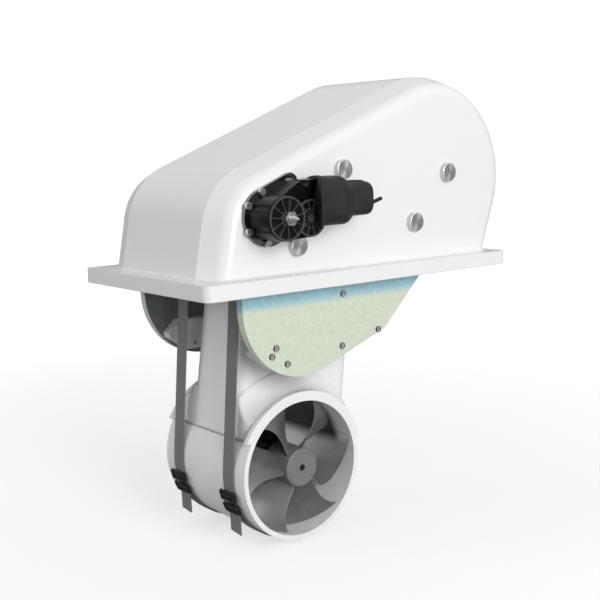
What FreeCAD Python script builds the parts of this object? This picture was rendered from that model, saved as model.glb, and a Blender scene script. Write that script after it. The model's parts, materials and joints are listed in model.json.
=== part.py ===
"""Retractable bow thruster: a moulded housing with a mounting flange, and a leg that swings down
out of it on two pivot pins, carrying a duct with a six-bladed propeller.

Frame: X runs from the low front end to the high rear dome, Y along the duct, Z up.
The origin is the centre of the flange's underside, which is at z = 0.
"""
import FreeCAD, Part
import math
import os
from FreeCAD import Vector

# Flange, mm
flange_length = 542.0
flange_width = 306.0
flange_thickness = 20.0
flange_corner_radius = 12.0
bolt_edge_distance = 11.5
bolt_hole_radius = 3.5
bolts_along_side = 9
bolts_across_front = 6

# Moulded housing
housing_half_width = 131.0
wall = 7.0
front_foot_x = -246.0
front_lean = math.radians(11.0)
brow_radius = 88.0
roof_slope = math.radians(21.8)
dome_x = 148.0
dome_z = 132.0
dome_radius = 144.0
dome_undercut = math.radians(20.0)
crease_half_width = 90.0
shoulder_slope = math.radians(18.4)
shoulder_radius = 20.0
flange_fillet = 5.0

# Side plates, which hang below the flange
plate_thickness = 12.0
plate_arc_x = -101.0
plate_arc_z = -19.0
plate_arc_radius = 99.0
plate_bottom_slope = math.radians(19.7)
plate_rear_slope = math.radians(44.0)
plate_knee_x = 45.0
plate_knee_radius = 22.0
plate_top_front = 70.0
plate_top_drop = 34.0
plate_rear_x = 190.0
plate_rear_top = 150.0

# Disc-headed bolts through wall and plate
disc_radius = 13.0
disc_height = 8.0
bolt_shank_radius = 6.0
thin_nut_height = 4.5
thin_nut_radius = 10.0
plate_bolts = [(-38.0, 150.0), (-117.0, 56.0), (95.0, 73.0), (162.0, 140.0)]

# Down stops, wear pads and screws on the plates
stop_pin_radius = 10.0
stop_pin_place = (-100.0, -84.0)
stop_thickness = 20.0
stop_top = -62.0
stop_bottom = -106.0
stop_nose = [(-143.0, -106.0), (-171.0, -87.0), (-173.0, -80.0), (-153.0, -62.0)]
stop_screws = [(-149.0, -75.0), (-156.0, -85.0), (-131.0, -98.0)]
pad_thickness = 4.0
pad_corners = [(-46.0, -6.0), (-22.0, -6.0), (42.0, -66.0), (40.0, -82.0), (-34.0, -98.0), (-46.0, -94.0)]
pad_screws = [(-33.0, -16.0), (-36.0, -87.0), (31.0, -73.0)]
screw_radius = 3.0
screw_head_radius = 4.5
screw_head_height = 1.5

# Lifting drive
drive_x = -165.0
drive_z = 95.0
gear_module = 2.5
pinion_teeth = 20
sector_teeth = 50
pivot_direction = math.radians(-66.4)
gear_thickness = 10.0
gear_face_gap = 6.0
sector_front_angle = math.radians(126.0)
sector_sweep = math.radians(126.0)
tooth_play = 0.12
output_shaft_radius = 6.0
running_gap = 0.05
pivot_pin_radius = 8.0
pivot_bush_wall = 4.0
pivot_bush_length = 40.0

# Swinging leg, in its own frame: origin on the duct axis, z' up the leg
leg_tilt = 7.7
duct_x = -94.0
duct_z = -250.0
leg_centre_y = -12.0
duct_half_length = 94.0
duct_bore_radius = 92.5
duct_wall = 6.5
rim_radius = 106.0
rim_width = 8.0
parting_height = 38.0
leg_front = -89.0
leg_rear = 104.0
leg_half_width_low = 54.0
leg_half_width_high = 50.0
leg_rear_top = 150.0
leg_wall = 6.0
leg_corner_radius = 14.0
flare_rise = 22.0
flare_corner_radius = 30.0
cavity_floor = 112.0
cavity_step = 255.0
cavity_front_high = -28.0
boss_radius = 17.5
boss_rim = 3.0
boss_end_gap = 4.0
neck_radius = 18.0

# Propulsion
propeller_blades = 6
blade_tip_gap = 2.5
blade_sweep = math.radians(48.0)
first_blade = math.radians(15.0)
blade_depth = 36.0
blade_thickness = 4.0
blade_waist = 0.13
hub_radius = 26.5
hub_length = 52.0
hub_inset = 2.0
hub_edge_radius = 3.0
blade_start_depth = 4.0
hub_screw_radius = 4.0
hub_screw_depth = 8.0
pod_radius = 29.0
strut_near_gap = 7.0
strut_chord = 84.0
strut_thickness = 36.0
crown_pad_radius = 48.0
crown_pad_thickness = 5.0
pod_front_gap = 6.0
pod_length = 106.0
propeller_shaft_radius = 7.0
drive_shaft_radius = 6.0
motor_radius = 40.0
motor_length = 66.0
motor_mount_radius = 34.0
motor_mount_thickness = 8.0
shaft_in_motor = 30.0
bevel_collar_length = 4.0
bevel_back = 6.0
shaft_bearing_radius = 13.0
shaft_bearing_width = 8.0
bevel_gear_radius = 20.0
bevel_gear_face = 8.0
bevel_pinion_radius = 14.0
bevel_gap = 0.35

# Webbing
strap_width = 24.0
strap_thickness = 2.0
strap_spread = 60.0
strap_bar_out = 20.0
strap_bar_height = 275.0
strap_bar_radius = 5.0
strap_bar_post_spread = 26.0
strap_bar_post_width = 8.0
strap_bar_post_height = 16.0
strap_end_angle = math.radians(378.0)
tail_angle = math.radians(216.5)
tail_length = 39.0
buckle_angles = [201.0, 211.5]
buckle_length = 14.5
buckle_height = 6.0
buckle_side = 4.0
buckle_bar = 3.0
seat_gap = 0.3

# Gearmotor on the near wall
bracket_thickness = 6.0
bracket_radius = 37.0
bracket_ear_radius = 11.0
bracket_bolts = [(-197.0, 111.0), (-197.0, 79.0), (-169.0, 63.0), (-176.0, 127.0), (-129.0, 138.0)]
bracket_bolt_radius = 4.5
bracket_bolt_height = 5.0
case_depth = 40.0
case_radius = 28.0
case_shift = 4.0
case_rim = 3.5
case_hub_share = 0.38
case_ribs = 12
rib_depth = 5.0
rib_width = 1.4
arm_rise = 25.0
second_case_x = -125.0
second_case_z = 93.0
second_case_radius = 24.0
second_case_set_back = 8.0
second_case_ribs = 10
motor_axis_z = 113.0
boot_radius_front = 32.0
boot_radius_rear = 23.5
boot_wall = 4.0
boot_front_x = -108.0
boot_step_x = -74.0
boot_rear_x = -30.0
lead_radius = 2.5
lead_length = 31.0
lead_drop = 9.0
nut_radius = 9.5
shaft_tip_out = 9.0
shaft_tip_bare = 2.5

# Worked out from the sizes above
inner_half_width = housing_half_width - wall
plate_inner = inner_half_width - plate_thickness
pinion_radius = gear_module * pinion_teeth / 2
sector_radius = gear_module * sector_teeth / 2
pivot_x = drive_x + (pinion_radius + sector_radius) * math.cos(pivot_direction)
pivot_z = drive_z + (pinion_radius + sector_radius) * math.sin(pivot_direction)
duct_outer_radius = duct_bore_radius + duct_wall
duct_near_y = leg_centre_y - duct_half_length
duct_far_y = leg_centre_y + duct_half_length
blade_tip_radius = duct_bore_radius - blade_tip_gap
hub_near_y = duct_near_y + hub_inset
hub_far_y = hub_near_y + hub_length
pod_near_y = hub_far_y + pod_front_gap
pod_far_y = pod_near_y + pod_length
ALONG_X = Vector(1, 0, 0)
ALONG_Y = Vector(0, 1, 0)


def save(name, shape):
    """Write one named piece, once its faces are merged."""
    shape.removeSplitter().exportStep("parts/" + name + ".step")


def save_group(name, shapes):
    """Write several like pieces as one group of separate solids."""
    Part.makeCompound(shapes).exportStep("parts/" + name + ".step")


def point(x, z, y=0.0):
    """A point given by its place in the side view."""
    return Vector(x, y, z)


def rod(x, z, radius, y_start, y_end):
    """A cylinder along Y between two planes."""
    return Part.makeCylinder(radius, y_end - y_start, point(x, z, y_start), ALONG_Y)


def hexagon(x, z, radius, y_start, y_end):
    """A hexagonal nut blank along Y."""
    corners = [point(x + radius * math.cos(math.radians(60 * k)),
                     z + radius * math.sin(math.radians(60 * k)), y_start) for k in range(7)]
    return Part.Face(Part.makePolygon(corners)).extrude(Vector(0, y_end - y_start, 0))


def plate_from(edges, y_start, y_end):
    """Extrude a closed side-view outline along Y."""
    face = Part.Face(Part.Wire(Part.__sortEdges__(edges)))
    face.translate(Vector(0, y_start, 0))
    return face.extrude(Vector(0, y_end - y_start, 0))


def polygon_plate(corners, y_start, y_end):
    """Extrude a side-view polygon along Y."""
    points = [point(x, z, y_start) for x, z in corners]
    return Part.Face(Part.makePolygon(points + points[:1])).extrude(Vector(0, y_end - y_start, 0))


def arc_about(x, z, radius, start, end):
    """An arc in the side view, from one angle to the other."""
    middle = (start + end) / 2
    places = [point(x + radius * math.cos(a), z + radius * math.sin(a)) for a in (start, middle, end)]
    return Part.Arc(places[0], places[1], places[2]).toShape()


def mirrored(shape):
    """The same piece on the far side."""
    return shape.mirror(Vector(0, 0, 0), ALONG_Y)


def on_leg(shape):
    """Move a piece from the leg's own frame to its place."""
    placed = shape.copy()
    placed.rotate(Vector(0, 0, 0), ALONG_Y, leg_tilt)
    placed.translate(point(duct_x, duct_z))
    return placed


def in_leg_frame(x, z):
    """A side-view place, seen from the leg's own frame."""
    turn = math.radians(leg_tilt)
    across = (x - duct_x) * math.cos(turn) - (z - duct_z) * math.sin(turn)
    along = (x - duct_x) * math.sin(turn) + (z - duct_z) * math.cos(turn)
    return across, along


def housing_outline(inset, foot_z):
    """Side view of the moulding: leaning front, brow arc, roof tangent to the dome, undercut rear."""
    radius = dome_radius - inset
    roof_end = math.pi / 2 + roof_slope
    roof_x = dome_x + radius * math.cos(roof_end)
    roof_z = dome_z + radius * math.sin(roof_end)
    foot_x = front_foot_x + inset / math.cos(front_lean)
    front_x = foot_x + (foot_z - flange_thickness) * math.tan(front_lean)
    rise = math.tan(roof_slope)
    lean = math.tan(front_lean)
    brow_x = (front_x + lean * (roof_z - rise * roof_x - foot_z)) / (1 - lean * rise)
    brow_z = roof_z + rise * (brow_x - roof_x)
    turn = math.pi / 2 - front_lean - roof_slope
    reach = (brow_radius - inset) * math.tan(turn / 2)
    arc_start = point(brow_x - reach * math.sin(front_lean), brow_z - reach * math.cos(front_lean))
    arc_end = point(brow_x + reach * math.cos(roof_slope), brow_z + reach * math.sin(roof_slope))
    centre = arc_end + point(math.sin(roof_slope), -math.cos(roof_slope)) * (brow_radius - inset)
    chord = (arc_start + arc_end) * 0.5 - centre
    arc_middle = centre + chord.normalize() * (brow_radius - inset)
    rear_start = point(dome_x + radius * math.cos(dome_undercut), dome_z - radius * math.sin(dome_undercut))
    rear_foot_x = rear_start.x - (rear_start.z - foot_z) * math.tan(dome_undercut)
    foot = point(front_x, foot_z)
    rear_foot = point(rear_foot_x, foot_z)
    return [
        Part.makeLine(foot, arc_start),
        Part.Arc(arc_start, arc_middle, arc_end).toShape(),
        Part.makeLine(arc_end, point(roof_x, roof_z)),
        arc_about(dome_x, dome_z, radius, roof_end, -dome_undercut),
        Part.makeLine(rear_start, rear_foot),
        Part.makeLine(rear_foot, foot),
    ]


def outline_wire(inset, foot_z, y):
    """The side view as a closed wire on one plane."""
    wire = Part.Wire(Part.__sortEdges__(housing_outline(inset, foot_z)))
    wire.translate(Vector(0, y, 0))
    return wire


def housing_block(inset, foot_z):
    """The moulding as a solid: flat between two creases, then sloping away to a rounded rim."""
    half = housing_half_width - inset
    crease = crease_half_width - inset * math.tan(shoulder_slope / 2)
    drop = (half - crease) * math.tan(shoulder_slope)
    block = plate_from(housing_outline(inset, foot_z), -crease, crease)
    shoulder = Part.makeLoft([outline_wire(inset, foot_z, -crease),
                              outline_wire(inset + drop, foot_z, -half)], True, True)
    block = block.fuse(shoulder).fuse(mirrored(shoulder)).removeSplitter()
    rims = []
    for edge in block.Edges:
        box = edge.BoundBox
        on_side = box.YLength < 0.01 and abs(abs(box.YMin) - half) < 0.01
        at_foot = box.ZLength < 0.01 and abs(box.ZMin - foot_z) < 0.01
        if on_side and not at_foot:
            rims.append(edge)
    return block.makeFillet(shoulder_radius - inset, rims)


def flange_plate():
    """The flat flange with rounded corners."""
    plate = Part.makeBox(flange_length, flange_width, flange_thickness,
                         Vector(-flange_length / 2, -flange_width / 2, 0))
    corners = [edge for edge in plate.Edges if edge.BoundBox.ZLength > flange_thickness / 2]
    return plate.makeFillet(flange_corner_radius, corners)


def flange_holes():
    """Places of the flange bolts: both long sides and the front end."""
    reach_x = flange_length / 2 - bolt_edge_distance
    reach_y = flange_width / 2 - bolt_edge_distance
    step_x = 2 * reach_x / (bolts_along_side - 1)
    step_y = 2 * reach_y / (bolts_across_front - 1)
    places = []
    for k in range(bolts_along_side):
        places.append((-reach_x + k * step_x, -reach_y))
        places.append((-reach_x + k * step_x, reach_y))
    for k in range(1, bolts_across_front - 1):
        places.append((-reach_x, -reach_y + k * step_y))
    return places


def housing_shell():
    """Flange and moulding in one piece, hollow and open below."""
    shell = flange_plate().fuse(housing_block(0.0, flange_thickness / 2)).removeSplitter()
    seam = []
    for edge in shell.Edges:
        box = edge.BoundBox
        inside = box.YMax < flange_width / 2 - 1 and box.YMin > 1 - flange_width / 2
        level = box.ZLength < 0.01 and abs(box.ZMin - flange_thickness) < 0.01
        if level and inside and box.XMax < flange_length / 2 - 1 and box.XMin > 1 - flange_length / 2:
            seam.append(edge)
    shell = shell.makeFillet(flange_fillet, seam)
    shell = shell.cut(housing_block(wall, -flange_thickness / 2))
    for x, y in flange_holes():
        shell = shell.cut(Part.makeCylinder(bolt_hole_radius, flange_thickness + 2, Vector(x, y, -1)))
    for side in (-1, 1):
        start = min(side * inner_half_width, side * housing_half_width) - 1
        for x, z in plate_bolts:
            shell = shell.cut(rod(x, z, bolt_shank_radius, start, start + wall + 2))
    return shell.cut(rod(drive_x, drive_z, drive_hole_radius(), -housing_half_width - 1, -inner_half_width + 1))


def drive_hole_radius():
    """The hole for the output shaft's bush."""
    return output_shaft_radius + 4.0


def plate_outline():
    """A side plate: round front below, sloping foot, knee, and a top that follows the roof inside."""
    arc_end = -math.pi / 2 + plate_bottom_slope
    foot = point(plate_arc_x + plate_arc_radius * math.cos(arc_end),
                 plate_arc_z + plate_arc_radius * math.sin(arc_end))
    knee = foot + point(math.cos(plate_bottom_slope), math.sin(plate_bottom_slope)) * (
        (plate_knee_x - foot.x) / math.cos(plate_bottom_slope))
    reach = plate_knee_radius * math.tan((plate_rear_slope - plate_bottom_slope) / 2)
    before = knee - point(math.cos(plate_bottom_slope), math.sin(plate_bottom_slope)) * reach
    after = knee + point(math.cos(plate_rear_slope), math.sin(plate_rear_slope)) * reach
    middle_angle = (plate_bottom_slope + plate_rear_slope) / 2
    centre = before + point(-math.sin(plate_bottom_slope), math.cos(plate_bottom_slope)) * plate_knee_radius
    middle = centre + point(math.sin(middle_angle), -math.cos(middle_angle)) * plate_knee_radius
    rear_low = point(plate_rear_x, after.z + (plate_rear_x - after.x) * math.tan(plate_rear_slope))
    front = plate_arc_x - plate_arc_radius
    roof_at = roof_height
    top_front = point(front, plate_top_front)
    brow = point(front + plate_top_drop, roof_at(front + plate_top_drop) - plate_top_drop - wall)
    crest = point(dome_x - dome_radius * 0.7, roof_at(dome_x - dome_radius * 0.7) - plate_top_drop - wall)
    rear_top = point(plate_rear_x, plate_rear_top)
    corners = [after, rear_low, rear_top, crest, brow, top_front, point(front, plate_arc_z)]
    edges = [Part.makeLine(a, b) for a, b in zip(corners, corners[1:])]
    edges.append(arc_about(plate_arc_x, plate_arc_z, plate_arc_radius, math.pi, math.pi * 2 + arc_end))
    edges.append(Part.makeLine(foot, before))
    edges.append(Part.Arc(before, middle, after).toShape())
    return edges


def roof_height(x):
    """Height of the roof's outer skin at a place along the slope."""
    roof_end = math.pi / 2 + roof_slope
    roof_x = dome_x + dome_radius * math.cos(roof_end)
    roof_z = dome_z + dome_radius * math.sin(roof_end)
    return roof_z + (x - roof_x) * math.tan(roof_slope)


def side_plate():
    """The near side plate, bored for its bolts, the pivot pin and the drive shaft."""
    plate = plate_from(plate_outline(), -inner_half_width, -plate_inner)
    for x, z in plate_bolts:
        plate = plate.cut(rod(x, z, bolt_shank_radius, -inner_half_width - 1, -plate_inner + 1))
    plate = plate.cut(rod(pivot_x, pivot_z, pivot_pin_radius, -inner_half_width - 1, -plate_inner + 1))
    return bored(plate, stop_screws + pad_screws, -inner_half_width, -plate_inner)


def build_side_plates():
    """Both plates; only the near one is bored for the drive."""
    near = side_plate()
    save("side_plate_far", mirrored(near))
    bush_hole = rod(drive_x, drive_z, drive_hole_radius(), -inner_half_width - 1, -plate_inner + 1)
    save("side_plate_near", near.cut(bush_hole))


def disc_bolt(x, z, shank_end):
    """A bolt with a plain disc head on the outer wall."""
    head = rod(x, z, disc_radius, -housing_half_width - disc_height, -housing_half_width)
    rim = [edge for edge in head.Edges if abs(edge.BoundBox.YMax + housing_half_width + disc_height) < 0.01
           and edge.BoundBox.XLength > disc_radius]
    head = head.makeFillet(1.0, rim)
    return head.fuse(rod(x, z, bolt_shank_radius, -housing_half_width - 1, shank_end))


def build_plate_bolts():
    """Disc-headed bolts and thin nuts that hold each plate to its wall."""
    nut_end = -plate_inner + thin_nut_height
    bolts = [disc_bolt(x, z, nut_end) for x, z in plate_bolts]
    nuts = []
    for x, z in plate_bolts:
        nut = hexagon(x, z, thin_nut_radius, -plate_inner, nut_end)
        nuts.append(nut.cut(rod(x, z, bolt_shank_radius, -plate_inner - 1, nut_end + 1)))
    save_group("plate_bolts_near", bolts)
    save_group("plate_bolts_far", [mirrored(bolt) for bolt in bolts])
    save_group("plate_nuts_near", nuts)
    save_group("plate_nuts_far", [mirrored(nut) for nut in nuts])


def boss_end():
    """How far out from the middle the leg's pivot boss reaches."""
    return plate_inner - boss_end_gap


def build_pivot():
    """Pivot pins held in the plates, their bushes in the leg's boss and thrust washers."""
    pin_end = -boss_end() + pivot_bush_length
    pin = rod(pivot_x, pivot_z, pivot_pin_radius, -inner_half_width, pin_end)
    bush = rod(pivot_x, pivot_z, pivot_pin_radius + pivot_bush_wall, -boss_end(), pin_end)
    bush = bush.cut(rod(pivot_x, pivot_z, pivot_pin_radius + running_gap, -boss_end() - 1, pin_end + 1))
    washer = rod(pivot_x, pivot_z, boss_radius, -plate_inner, -boss_end() - seat_gap)
    washer = washer.cut(rod(pivot_x, pivot_z, pivot_pin_radius, -plate_inner - 1, -boss_end() + 1))
    for name, piece in (("pivot_pin", pin), ("pivot_bush", bush), ("thrust_washer", washer)):
        save(name + "_near", piece)
        save(name + "_far", mirrored(piece))


def stop_block():
    """The down stop, a block on the plate that the leg's stop pin meets."""
    face_x = stop_pin_place[0] - stop_pin_radius - seat_gap
    corners = stop_nose + [(face_x, stop_top), (face_x, stop_bottom)]
    block = polygon_plate(corners, -plate_inner, -plate_inner + stop_thickness)
    return bored(block, stop_screws, -plate_inner, -plate_inner + stop_thickness)


def wear_pad():
    """A thin three-cornered pad on the plate, which the duct's rim slides past."""
    pad = polygon_plate(pad_corners, -plate_inner, -plate_inner + pad_thickness)
    return bored(pad, pad_screws, -plate_inner, -plate_inner + pad_thickness)


def bored(piece, places, y_start, y_end):
    """Bore screw holes through a piece."""
    for x, z in places:
        piece = piece.cut(rod(x, z, screw_radius, y_start - 1, y_end + 1))
    return piece


def plate_screw(x, z, inner_end):
    """A pan-headed screw from the plate's outer face."""
    seat = -inner_half_width
    head = Part.makeCylinder(screw_head_radius, screw_head_height, point(x, z, seat - screw_head_height), ALONG_Y)
    return head.fuse(rod(x, z, screw_radius, seat - screw_head_height / 2, inner_end))


def build_plate_fittings():
    """Stops, pads and their screws on both plates."""
    stop = stop_block()
    pad = wear_pad()
    screws = [plate_screw(x, z, -plate_inner + stop_thickness * 0.8) for x, z in stop_screws]
    screws += [plate_screw(x, z, -plate_inner + pad_thickness * 0.8) for x, z in pad_screws]
    save("down_stop_near", stop)
    save("down_stop_far", mirrored(stop))
    save("wear_pad_near", pad)
    save("wear_pad_far", mirrored(pad))
    save_group("plate_screws_near", screws)
    save_group("plate_screws_far", [mirrored(screw) for screw in screws])


def tooth_half_angle(radius, teeth):
    """Half the angle a tooth covers at a radius, from the involute of its base circle."""
    pitch_radius = gear_module * teeth / 2
    pressure = math.radians(20.0)
    base_radius = pitch_radius * math.cos(pressure)
    at = max(radius, base_radius)
    angle = math.acos(base_radius / at)
    flank = math.tan(pressure) - pressure - (math.tan(angle) - angle)
    return math.pi / (2 * teeth) + flank - tooth_play / (2 * pitch_radius)


def tooth_points(centre_x, centre_z, teeth, middle):
    """One involute tooth as points from its root on one side to its root on the other."""
    pitch_radius = gear_module * teeth / 2
    root = pitch_radius - 1.2 * gear_module
    tip = pitch_radius + 0.85 * gear_module
    radii = [root + (tip - root) * step / 5 for step in range(6)]
    points = []
    for side, order in ((-1, radii), (1, radii[::-1])):
        for radius in order:
            angle = middle + side * tooth_half_angle(radius, teeth)
            points.append((centre_x + radius * math.cos(angle), centre_z + radius * math.sin(angle)))
    return points


def output_pinion():
    """The pinion on the drive's output shaft, with a gap facing the pivot."""
    corners = []
    for k in range(pinion_teeth):
        middle = pivot_direction + (k + 0.5) * 2 * math.pi / pinion_teeth
        corners += tooth_points(drive_x, drive_z, pinion_teeth, middle)
    gear = polygon_plate(corners, gear_plane() - 1, gear_plane() + gear_thickness + 1)
    return gear.cut(rod(drive_x, drive_z, output_shaft_radius, gear_plane() - 2, gear_plane() + gear_thickness + 2))


def gear_plane():
    """The near face of the sector gear."""
    return -plate_inner + gear_face_gap + 2.0


def sector_gear():
    """The toothed sector fixed to the leg's boss, with a tooth facing the pinion."""
    pitch = 2 * math.pi / sector_teeth
    facing = pivot_direction + math.pi
    low = math.ceil((sector_front_angle - sector_sweep - facing) / pitch)
    high = math.floor((sector_front_angle - facing) / pitch)
    corners = []
    for k in range(low, high + 1):
        corners += tooth_points(pivot_x, pivot_z, sector_teeth, facing + k * pitch)
    hub = boss_radius + 6.0
    last = facing + high * pitch
    first = facing + low * pitch
    steps = 12
    for k in range(steps + 1):
        angle = last + 0.35 + (2 * math.pi + first - last - 0.7) * k / steps
        corners.append((pivot_x + hub * math.cos(angle), pivot_z + hub * math.sin(angle)))
    gear = polygon_plate(corners, gear_plane(), gear_plane() + gear_thickness)
    return gear.cut(rod(pivot_x, pivot_z, boss_radius, gear_plane() - 1, gear_plane() + gear_thickness + 1))


def build_lift_drive():
    """The turning pieces of the lifting drive: output shaft, pinion and nut."""
    tip = -housing_half_width - bracket_thickness - case_depth - shaft_tip_out
    end = gear_plane() + gear_thickness + 4.0
    shaft = rod(drive_x, drive_z, output_shaft_radius, tip, end)
    nut_start = tip + shaft_tip_bare
    nut_end = -housing_half_width - bracket_thickness - case_depth - seat_gap
    nut = hexagon(drive_x, drive_z, nut_radius, nut_start, nut_end)
    nut = nut.cut(rod(drive_x, drive_z, output_shaft_radius, nut_start - 1, nut_end + 1))
    save("output_shaft", shaft)
    save("output_pinion", output_pinion())
    save("output_shaft_nut", nut)
    save("sector_gear", sector_gear())
    bush = rod(drive_x, drive_z, drive_hole_radius(), -housing_half_width, -plate_inner)
    bush = bush.cut(rod(drive_x, drive_z, output_shaft_radius + running_gap, -housing_half_width - 1, -plate_inner + 1))
    save("output_shaft_bush", bush)


def ribbed_round(x, z, radius, y_face, y_back, ribs):
    """A round gear case with a sunken face crossed by ribs."""
    body = rod(x, z, radius, y_face, y_back)
    sink = rod(x, z, radius - case_rim, y_face - 1, y_face + rib_depth)
    sink = sink.cut(rod(x, z, radius * case_hub_share, y_face - 2, y_face + rib_depth + 1))
    for k in range(ribs):
        rib = Part.makeBox(radius, 2 * rib_depth, rib_width, Vector(0, -rib_depth, -rib_width / 2))
        rib.rotate(Vector(0, 0, 0), ALONG_Y, 360.0 * k / ribs)
        rib.translate(point(x, z, y_face + rib_depth / 2))
        sink = sink.cut(rib)
    return body.cut(sink)


def drive_bracket(back, front):
    """The bracket plate: a disc round the shaft, drawn out to an ear at its upper rear."""
    ear_x, ear_z = bracket_bolts[-1]
    ear_angle = math.atan2(ear_z - drive_z, ear_x - drive_x)
    turn = math.acos((bracket_radius - bracket_ear_radius) / math.hypot(ear_x - drive_x, ear_z - drive_z))
    web = []
    for angle in (ear_angle + turn, ear_angle - turn):
        side = point(math.cos(angle), math.sin(angle))
        ends = [point(drive_x, drive_z) + side * bracket_radius, point(ear_x, ear_z) + side * bracket_ear_radius]
        web += ends if angle > ear_angle else ends[::-1]
    plate = rod(drive_x, drive_z, bracket_radius, back, front)
    plate = plate.fuse(rod(ear_x, ear_z, bracket_ear_radius, back, front))
    plate = plate.fuse(polygon_plate([(corner.x, corner.z) for corner in web], back, front)).removeSplitter()
    return plate.cut(rod(drive_x, drive_z, output_shaft_radius + 1, back - 1, front + 1))


def build_gear_case():
    """The ribbed case of the worm drive on its metal bracket, with the bracket's bolts."""
    wall_y = -housing_half_width
    back = wall_y - bracket_thickness
    face = back - case_depth
    save("drive_bracket", drive_bracket(back, wall_y))
    save_group("bracket_bolts", [rod(x, z, bracket_bolt_radius, back - bracket_bolt_height, back)
                                 for x, z in bracket_bolts])
    case = ribbed_round(drive_x - case_shift, drive_z, case_radius, face, back, case_ribs)
    case = case.fuse(ribbed_round(second_case_x, second_case_z, second_case_radius, face + second_case_set_back,
                                  back, second_case_ribs))
    arm_face = face + second_case_set_back + 2
    arm = [(drive_x, drive_z + case_radius), (boot_front_x - boot_radius_front, motor_axis_z + arm_rise),
           (boot_front_x, motor_axis_z + boot_radius_front - boot_wall),
           (boot_front_x, motor_axis_z - boot_radius_front + boot_wall / 2),
           (second_case_x, second_case_z - second_case_radius), (drive_x, drive_z - case_radius)]
    case = case.fuse(polygon_plate(arm, arm_face, back)).removeSplitter()
    for x, z in bracket_bolts:
        case = case.cut(rod(x, z, bracket_bolt_radius * 1.4, face - 1, back + 1))
    case = case.cut(rod(drive_x, drive_z, output_shaft_radius + running_gap, face - 1, back + 1))
    seat = Vector(boot_front_x, lift_motor_axis_y(), motor_axis_z)
    save("gear_case", case.cut(Part.makeCylinder(boot_radius_front, boot_radius_front, seat, ALONG_X)))


def lift_motor_axis_y():
    """The lifting motor lies along X, just clear of the wall."""
    return -housing_half_width - boot_radius_front - 2.0


def turned_along_x(outline, y, z):
    """Revolve an outline of places along X and radii about a line along X."""
    points = [Vector(x, y, z + radius) for x, radius in outline]
    return Part.Face(Part.makePolygon(points + points[:1])).revolve(Vector(0, y, z), ALONG_X, 360)


def build_lift_motor():
    """The lifting motor's can, its rubber boot and the cut lead."""
    y = lift_motor_axis_y()
    can_front = boot_radius_front - boot_wall
    can_rear = boot_radius_rear - boot_wall
    step = boot_step_x - boot_wall
    end = boot_rear_x - boot_wall
    inside = [(boot_front_x, can_front), (step, can_front), (step, can_rear), (end, can_rear), (end, 0)]
    outside = [(boot_rear_x, 0), (boot_rear_x, boot_radius_rear), (boot_step_x, boot_radius_rear),
               (boot_step_x, boot_radius_front), (boot_front_x, boot_radius_front)]
    save("lift_motor_can", turned_along_x([(boot_front_x, 0)] + inside, y, motor_axis_z))
    save("lift_motor_boot", turned_along_x(inside + outside, y, motor_axis_z))
    start = Vector(boot_rear_x, y, motor_axis_z - lead_drop)
    save("motor_lead", Part.makeCylinder(lead_radius, lead_length, start, ALONG_X))


def leg_outline(inset):
    """Side view of the leg: upright front, round over the pivot, sloping rear."""
    pivot_across, pivot_along = in_leg_frame(pivot_x, pivot_z)
    front = leg_front + inset
    rear = leg_rear - inset
    slope_x = rear - pivot_across
    slope_z = pivot_along - leg_rear_top
    lean = math.atan2(slope_z, slope_x) - math.asin((boss_radius - inset) / math.hypot(slope_x, slope_z))
    top_angle = math.pi / 2 - lean
    edges = [
        Part.makeLine(point(front, 0), point(front, pivot_along)),
        arc_about(pivot_across, pivot_along, pivot_across - front, math.pi, top_angle),
    ]
    arc_end = edges[-1].Vertexes[-1].Point
    edges.append(Part.makeLine(arc_end, point(rear, leg_rear_top)))
    edges.append(Part.makeLine(point(rear, leg_rear_top), point(rear, 0)))
    edges.append(Part.makeLine(point(rear, 0), point(front, 0)))
    return edges


def leg_prism(inset):
    """The leg's box, with sides that draw in towards the pivot."""
    pivot_along = in_leg_frame(pivot_x, pivot_z)[1]
    reach = 2 * leg_half_width_low
    block = plate_from(leg_outline(inset), -reach, reach)
    taper = (leg_half_width_low - leg_half_width_high) / (pivot_along + boss_radius - parting_height)
    low = leg_half_width_low - inset + taper * parting_height
    height = 1.5 * pivot_along
    high = low - taper * height
    length = 6 * duct_bore_radius
    section = [Vector(-length / 2, -low, 0), Vector(-length / 2, low, 0),
               Vector(-length / 2, high, height), Vector(-length / 2, -high, height)]
    wedge = Part.Face(Part.makePolygon(section + section[:1])).extrude(Vector(length, 0, 0))
    return block.common(wedge)


def rounded_upright(shape, radius):
    """Round a box's upright corners."""
    upright = []
    for edge in shape.Edges:
        box = edge.BoundBox
        if box.ZLength > 60 and box.XLength < 1.0:
            upright.append(edge)
    return shape.makeFillet(radius, upright)


def leg_body():
    """The leg's box with rounded upright corners, moved to the leg's middle."""
    prism = rounded_upright(leg_prism(0.0), leg_corner_radius)
    prism.translate(Vector(0, leg_centre_y, 0))
    return prism


def above_parting(shape, keep_above):
    """Keep what lies above or below the parting plane."""
    size = 1000.0
    corner = parting_height if keep_above else parting_height - size
    return shape.common(Part.makeBox(size, size, size, Vector(-size / 2, -size / 2, corner)))


def leg_cavity():
    """The motor space in the leg, open at the sloping rear."""
    lower = leg_prism(leg_wall)
    lower.translate(Vector(0, leg_centre_y, 0))
    size = 1000.0
    floor = Part.makeBox(size, size, cavity_step - cavity_floor, Vector(-size / 2, -size / 2, cavity_floor))
    upper = Part.makeBox(size, 2 * (leg_half_width_high - leg_wall), size,
                         Vector(cavity_front_high, leg_centre_y - leg_half_width_high + leg_wall, cavity_floor + 60))
    return lower.common(floor).fuse(upper)


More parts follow.
